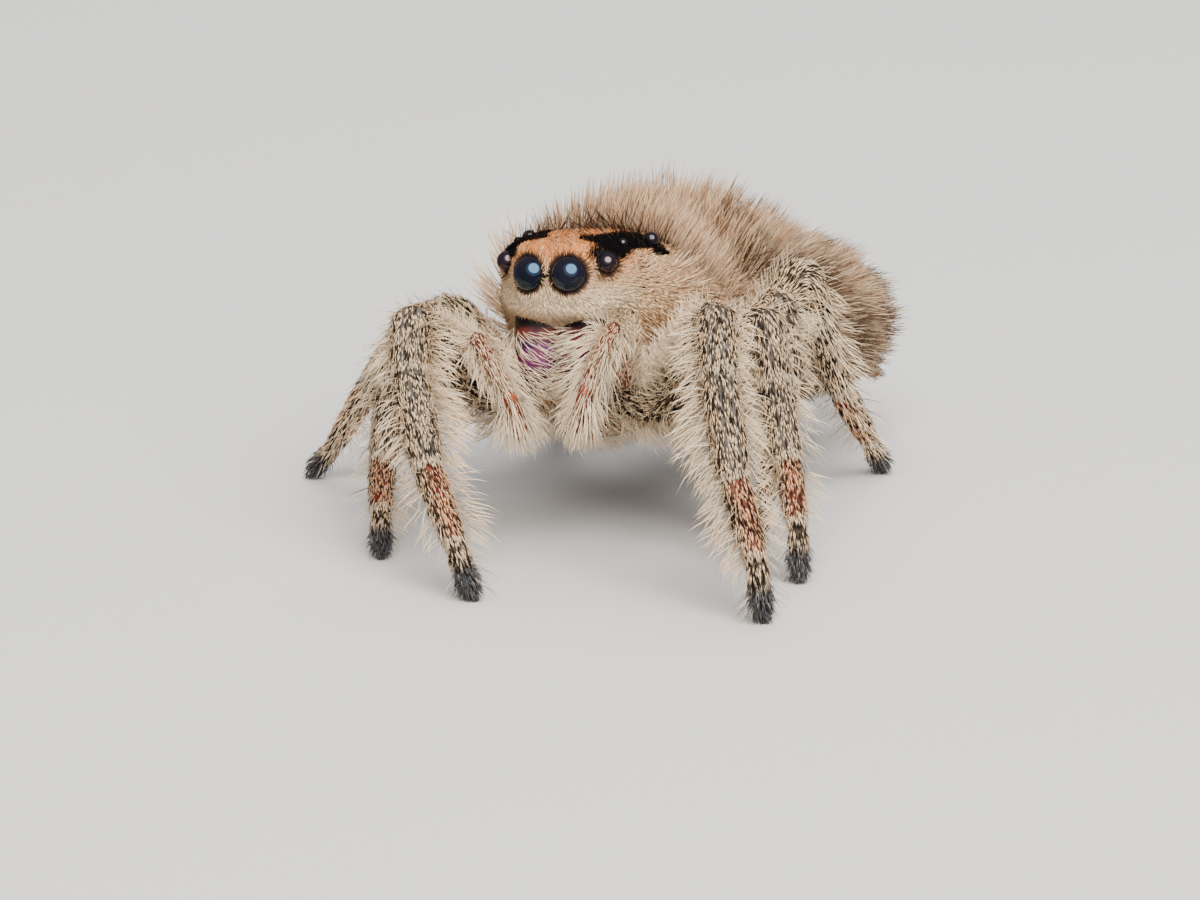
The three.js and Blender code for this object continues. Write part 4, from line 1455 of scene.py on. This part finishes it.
# feet: a dark fluffy brush
footHair = {"look": "foot", "slot": "foot_tuft", "hairs": "pelt", "perSquareMm": 380, "tangle": 0.4,
            "seed": 26, "length": 0.34, "lift": 40}
plantCoat("foot_tufts", footHair, regionMask("tarsus") * smoothStep(skin["s"], 0.35, 0.65),
          *growing(comb, footHair["lift"]), coatTint)

# palps: flat scales on top, long cream hair fanning out, and a bare rust ring before the last joint
palpScales = {"look": "thorax", "slot": "fleece", "hairs": "scale", "perSquareMm": 230, "tangle": 0.16,
              "seed": 29, "length": 0.26, "lift": 15}
palpHair = {"look": "fringe", "slot": "fleece", "hairs": "curl", "perSquareMm": 138, "tangle": 0.2,
            "clump": 0.45, "clumpsPerMm": 3.2, "seed": 27, "length": 0.24, "lift": 22, "sideLift": 36}
plantCoat("palp_scales", palpScales, onPalps * (1 - palpRing) * (1 - 0.8 * palpTip),
          growing(comb, palpScales["lift"])[0], inward, coatTint)
outward = smoothStep(legSide, 0.2, 0.75)
tipTop = palpTip * (1 - outward)
palpShare = 0.15 + 0.75 * outward + (0.75 - 0.3 * outward) * palpTip
palpLength = palpHair["length"] + (0.3 + 0.7 * outward + 0.4 * tipTop) * np.maximum(depth, 0.62)
plantCoat("palp_coat", palpHair, onPalps * (1 - palpRing) * palpShare,
          *growing(comb, palpHair["lift"] + palpHair["sideLift"] * outward + 16 * tipTop),
          mix(colours["cream"], coatTint, 0.5),
          palpLength * (1 - 0.25 * palpTip * smoothStep(skin["s"], 0.5, 1.0)))

# jaws: cream hair lying across the bright shell
jawHair = {"look": "fringe", "slot": "fleece", "hairs": "fringe", "perSquareMm": 190, "tangle": 0.3,
           "seed": 28, "length": 0.8, "outerLength": 0.5, "lift": 30}
jawHost = joined(list(jawMeshes.values()), "jaws")
jawPoints, jawNormals = positionsOf(jawHost), normalsOf(jawHost)
jawOwner = np.repeat([0, 1], [len(mesh.vertices) for mesh in jawMeshes.values()])
unwrapOn(jawHost, "skinMap", jawForms, jawOwner)
jawX, _, jawZ = toHead(jawPoints).T
jawOuter = smoothStep(np.abs(jawX), 0.75, 1.2)
jawShare = (0.27 + 0.25 * smoothStep(jawZ, -1.75, -1.6) + 0.6 * jawOuter
            + 0.7 * fallStep(jawZ, -2.75, -2.1))
jawFront = smoothStep(-jawNormals @ headBack, -0.4, 0.1)
jawLie = alongHead(-1.0 * np.sign(jawX), 0.1, -0.45)
plantCoat("jaw_hairs", jawHair, jawFront * np.clip(jawShare, 0, 1) * fallStep(jawZ, -1.48, -1.32),
          growing(jawLie, jawHair["lift"], jawNormals)[0], -jawNormals, colours["cream"],
          jawHair["length"] + jawHair["outerLength"] * jawOuter, jawHost)

for collection in hairCollections.values():  # the single hairs have done their work
    for piece in list(collection.objects):
        bpy.data.objects.remove(piece)
print("coats planted:", sum(coatSizes.values()), "triangles")

# floor, light and camera

viewPlan = {
    "azimuth": 26.0,
    "elevation": 15.0,
    "distance": 150.0,
    "lens": 180.0,
    "aimRight": 1.24,  # where the camera points, from the middle of the great eyes
    "aimDown": 4.4,
}
lampPlans = {  # azimuth, elevation, distance, width, power and colour
    "key": (46, 48, 260, 320, 2.7, (1, 0.97, 0.93)),
    "rim": (205, 48, 220, 160, 0.45, (1, 1, 1)),
    "card": (40, 44, 200, 400, 0.4, (1, 1, 1)),
}


def lookFrom(azimuth, elevation):
    az, el = math.radians(azimuth), math.radians(elevation)
    back = np.array([math.sin(az) * math.cos(el), -math.cos(az) * math.cos(el), math.sin(el)])
    right = np.array([math.cos(az), math.sin(az), 0])
    return right, np.cross(back, right), back


def placeOnStage(name, data, place, axes):
    thing = bpy.data.objects.new(name, data)
    thing.matrix_world = Matrix.Translation(Vector(place * mm)) @ Matrix(axes).transposed().to_4x4()
    bpy.context.collection.objects.link(thing)
    return thing


def placeCamera():
    right, above, back = lookFrom(viewPlan["azimuth"], viewPlan["elevation"])
    place = eyeLine + right * viewPlan["aimRight"] - above * viewPlan["aimDown"] + back * viewPlan["distance"]
    lens = bpy.data.cameras.new("camera")
    lens.lens = viewPlan["lens"]
    lens.sensor_width = 36
    lens.clip_start = 0.005
    lens.clip_end = 20
    bpy.context.scene.camera = placeOnStage("camera", lens, place, [right, above, back])


def softLight(name):
    azimuth, elevation, distance, width, power, colour = lampPlans[name]
    light = bpy.data.lights.new(name, "AREA")
    light.shape = "DISK"
    light.size = width * mm
    light.energy = power
    light.color = colour
    axes = lookFrom(azimuth, elevation)
    return placeOnStage(name, light, eyeLine + axes[2] * distance, axes)


def setFloor():
    finish = {"Base Color": (0.56, 0.555, 0.55, 1), "Roughness": 0.7}
    reach = 3.0
    mesh = meshFrom("floor", [(-reach, -reach, 0), (reach, -reach, 0), (reach, reach, 0), (-reach, reach, 0)],
                    [(0, 1, 2, 3)])
    mesh.materials.append(newMaterial("floor", finish)[0])
    floor = bpy.data.objects.new("floor", mesh)
    floor.visible_glossy = False  # the eyes mirror the soft light alone
    bpy.context.collection.objects.link(floor)


def setLight():
    softLight("key")
    softLight("rim").visible_glossy = False  # one highlight in each eye
    softLight("card").visible_diffuse = False  # a broad soft gleam in the eyes
    world = bpy.data.worlds.new("studio")
    bpy.context.scene.world = world
    world.use_nodes = True
    sky = world.node_tree.nodes["Background"].inputs
    sky["Color"].default_value = (0.8, 0.82, 0.85, 1)
    sky["Strength"].default_value = 0.22


placeCamera()
setLight()
setFloor()
print("stage set")
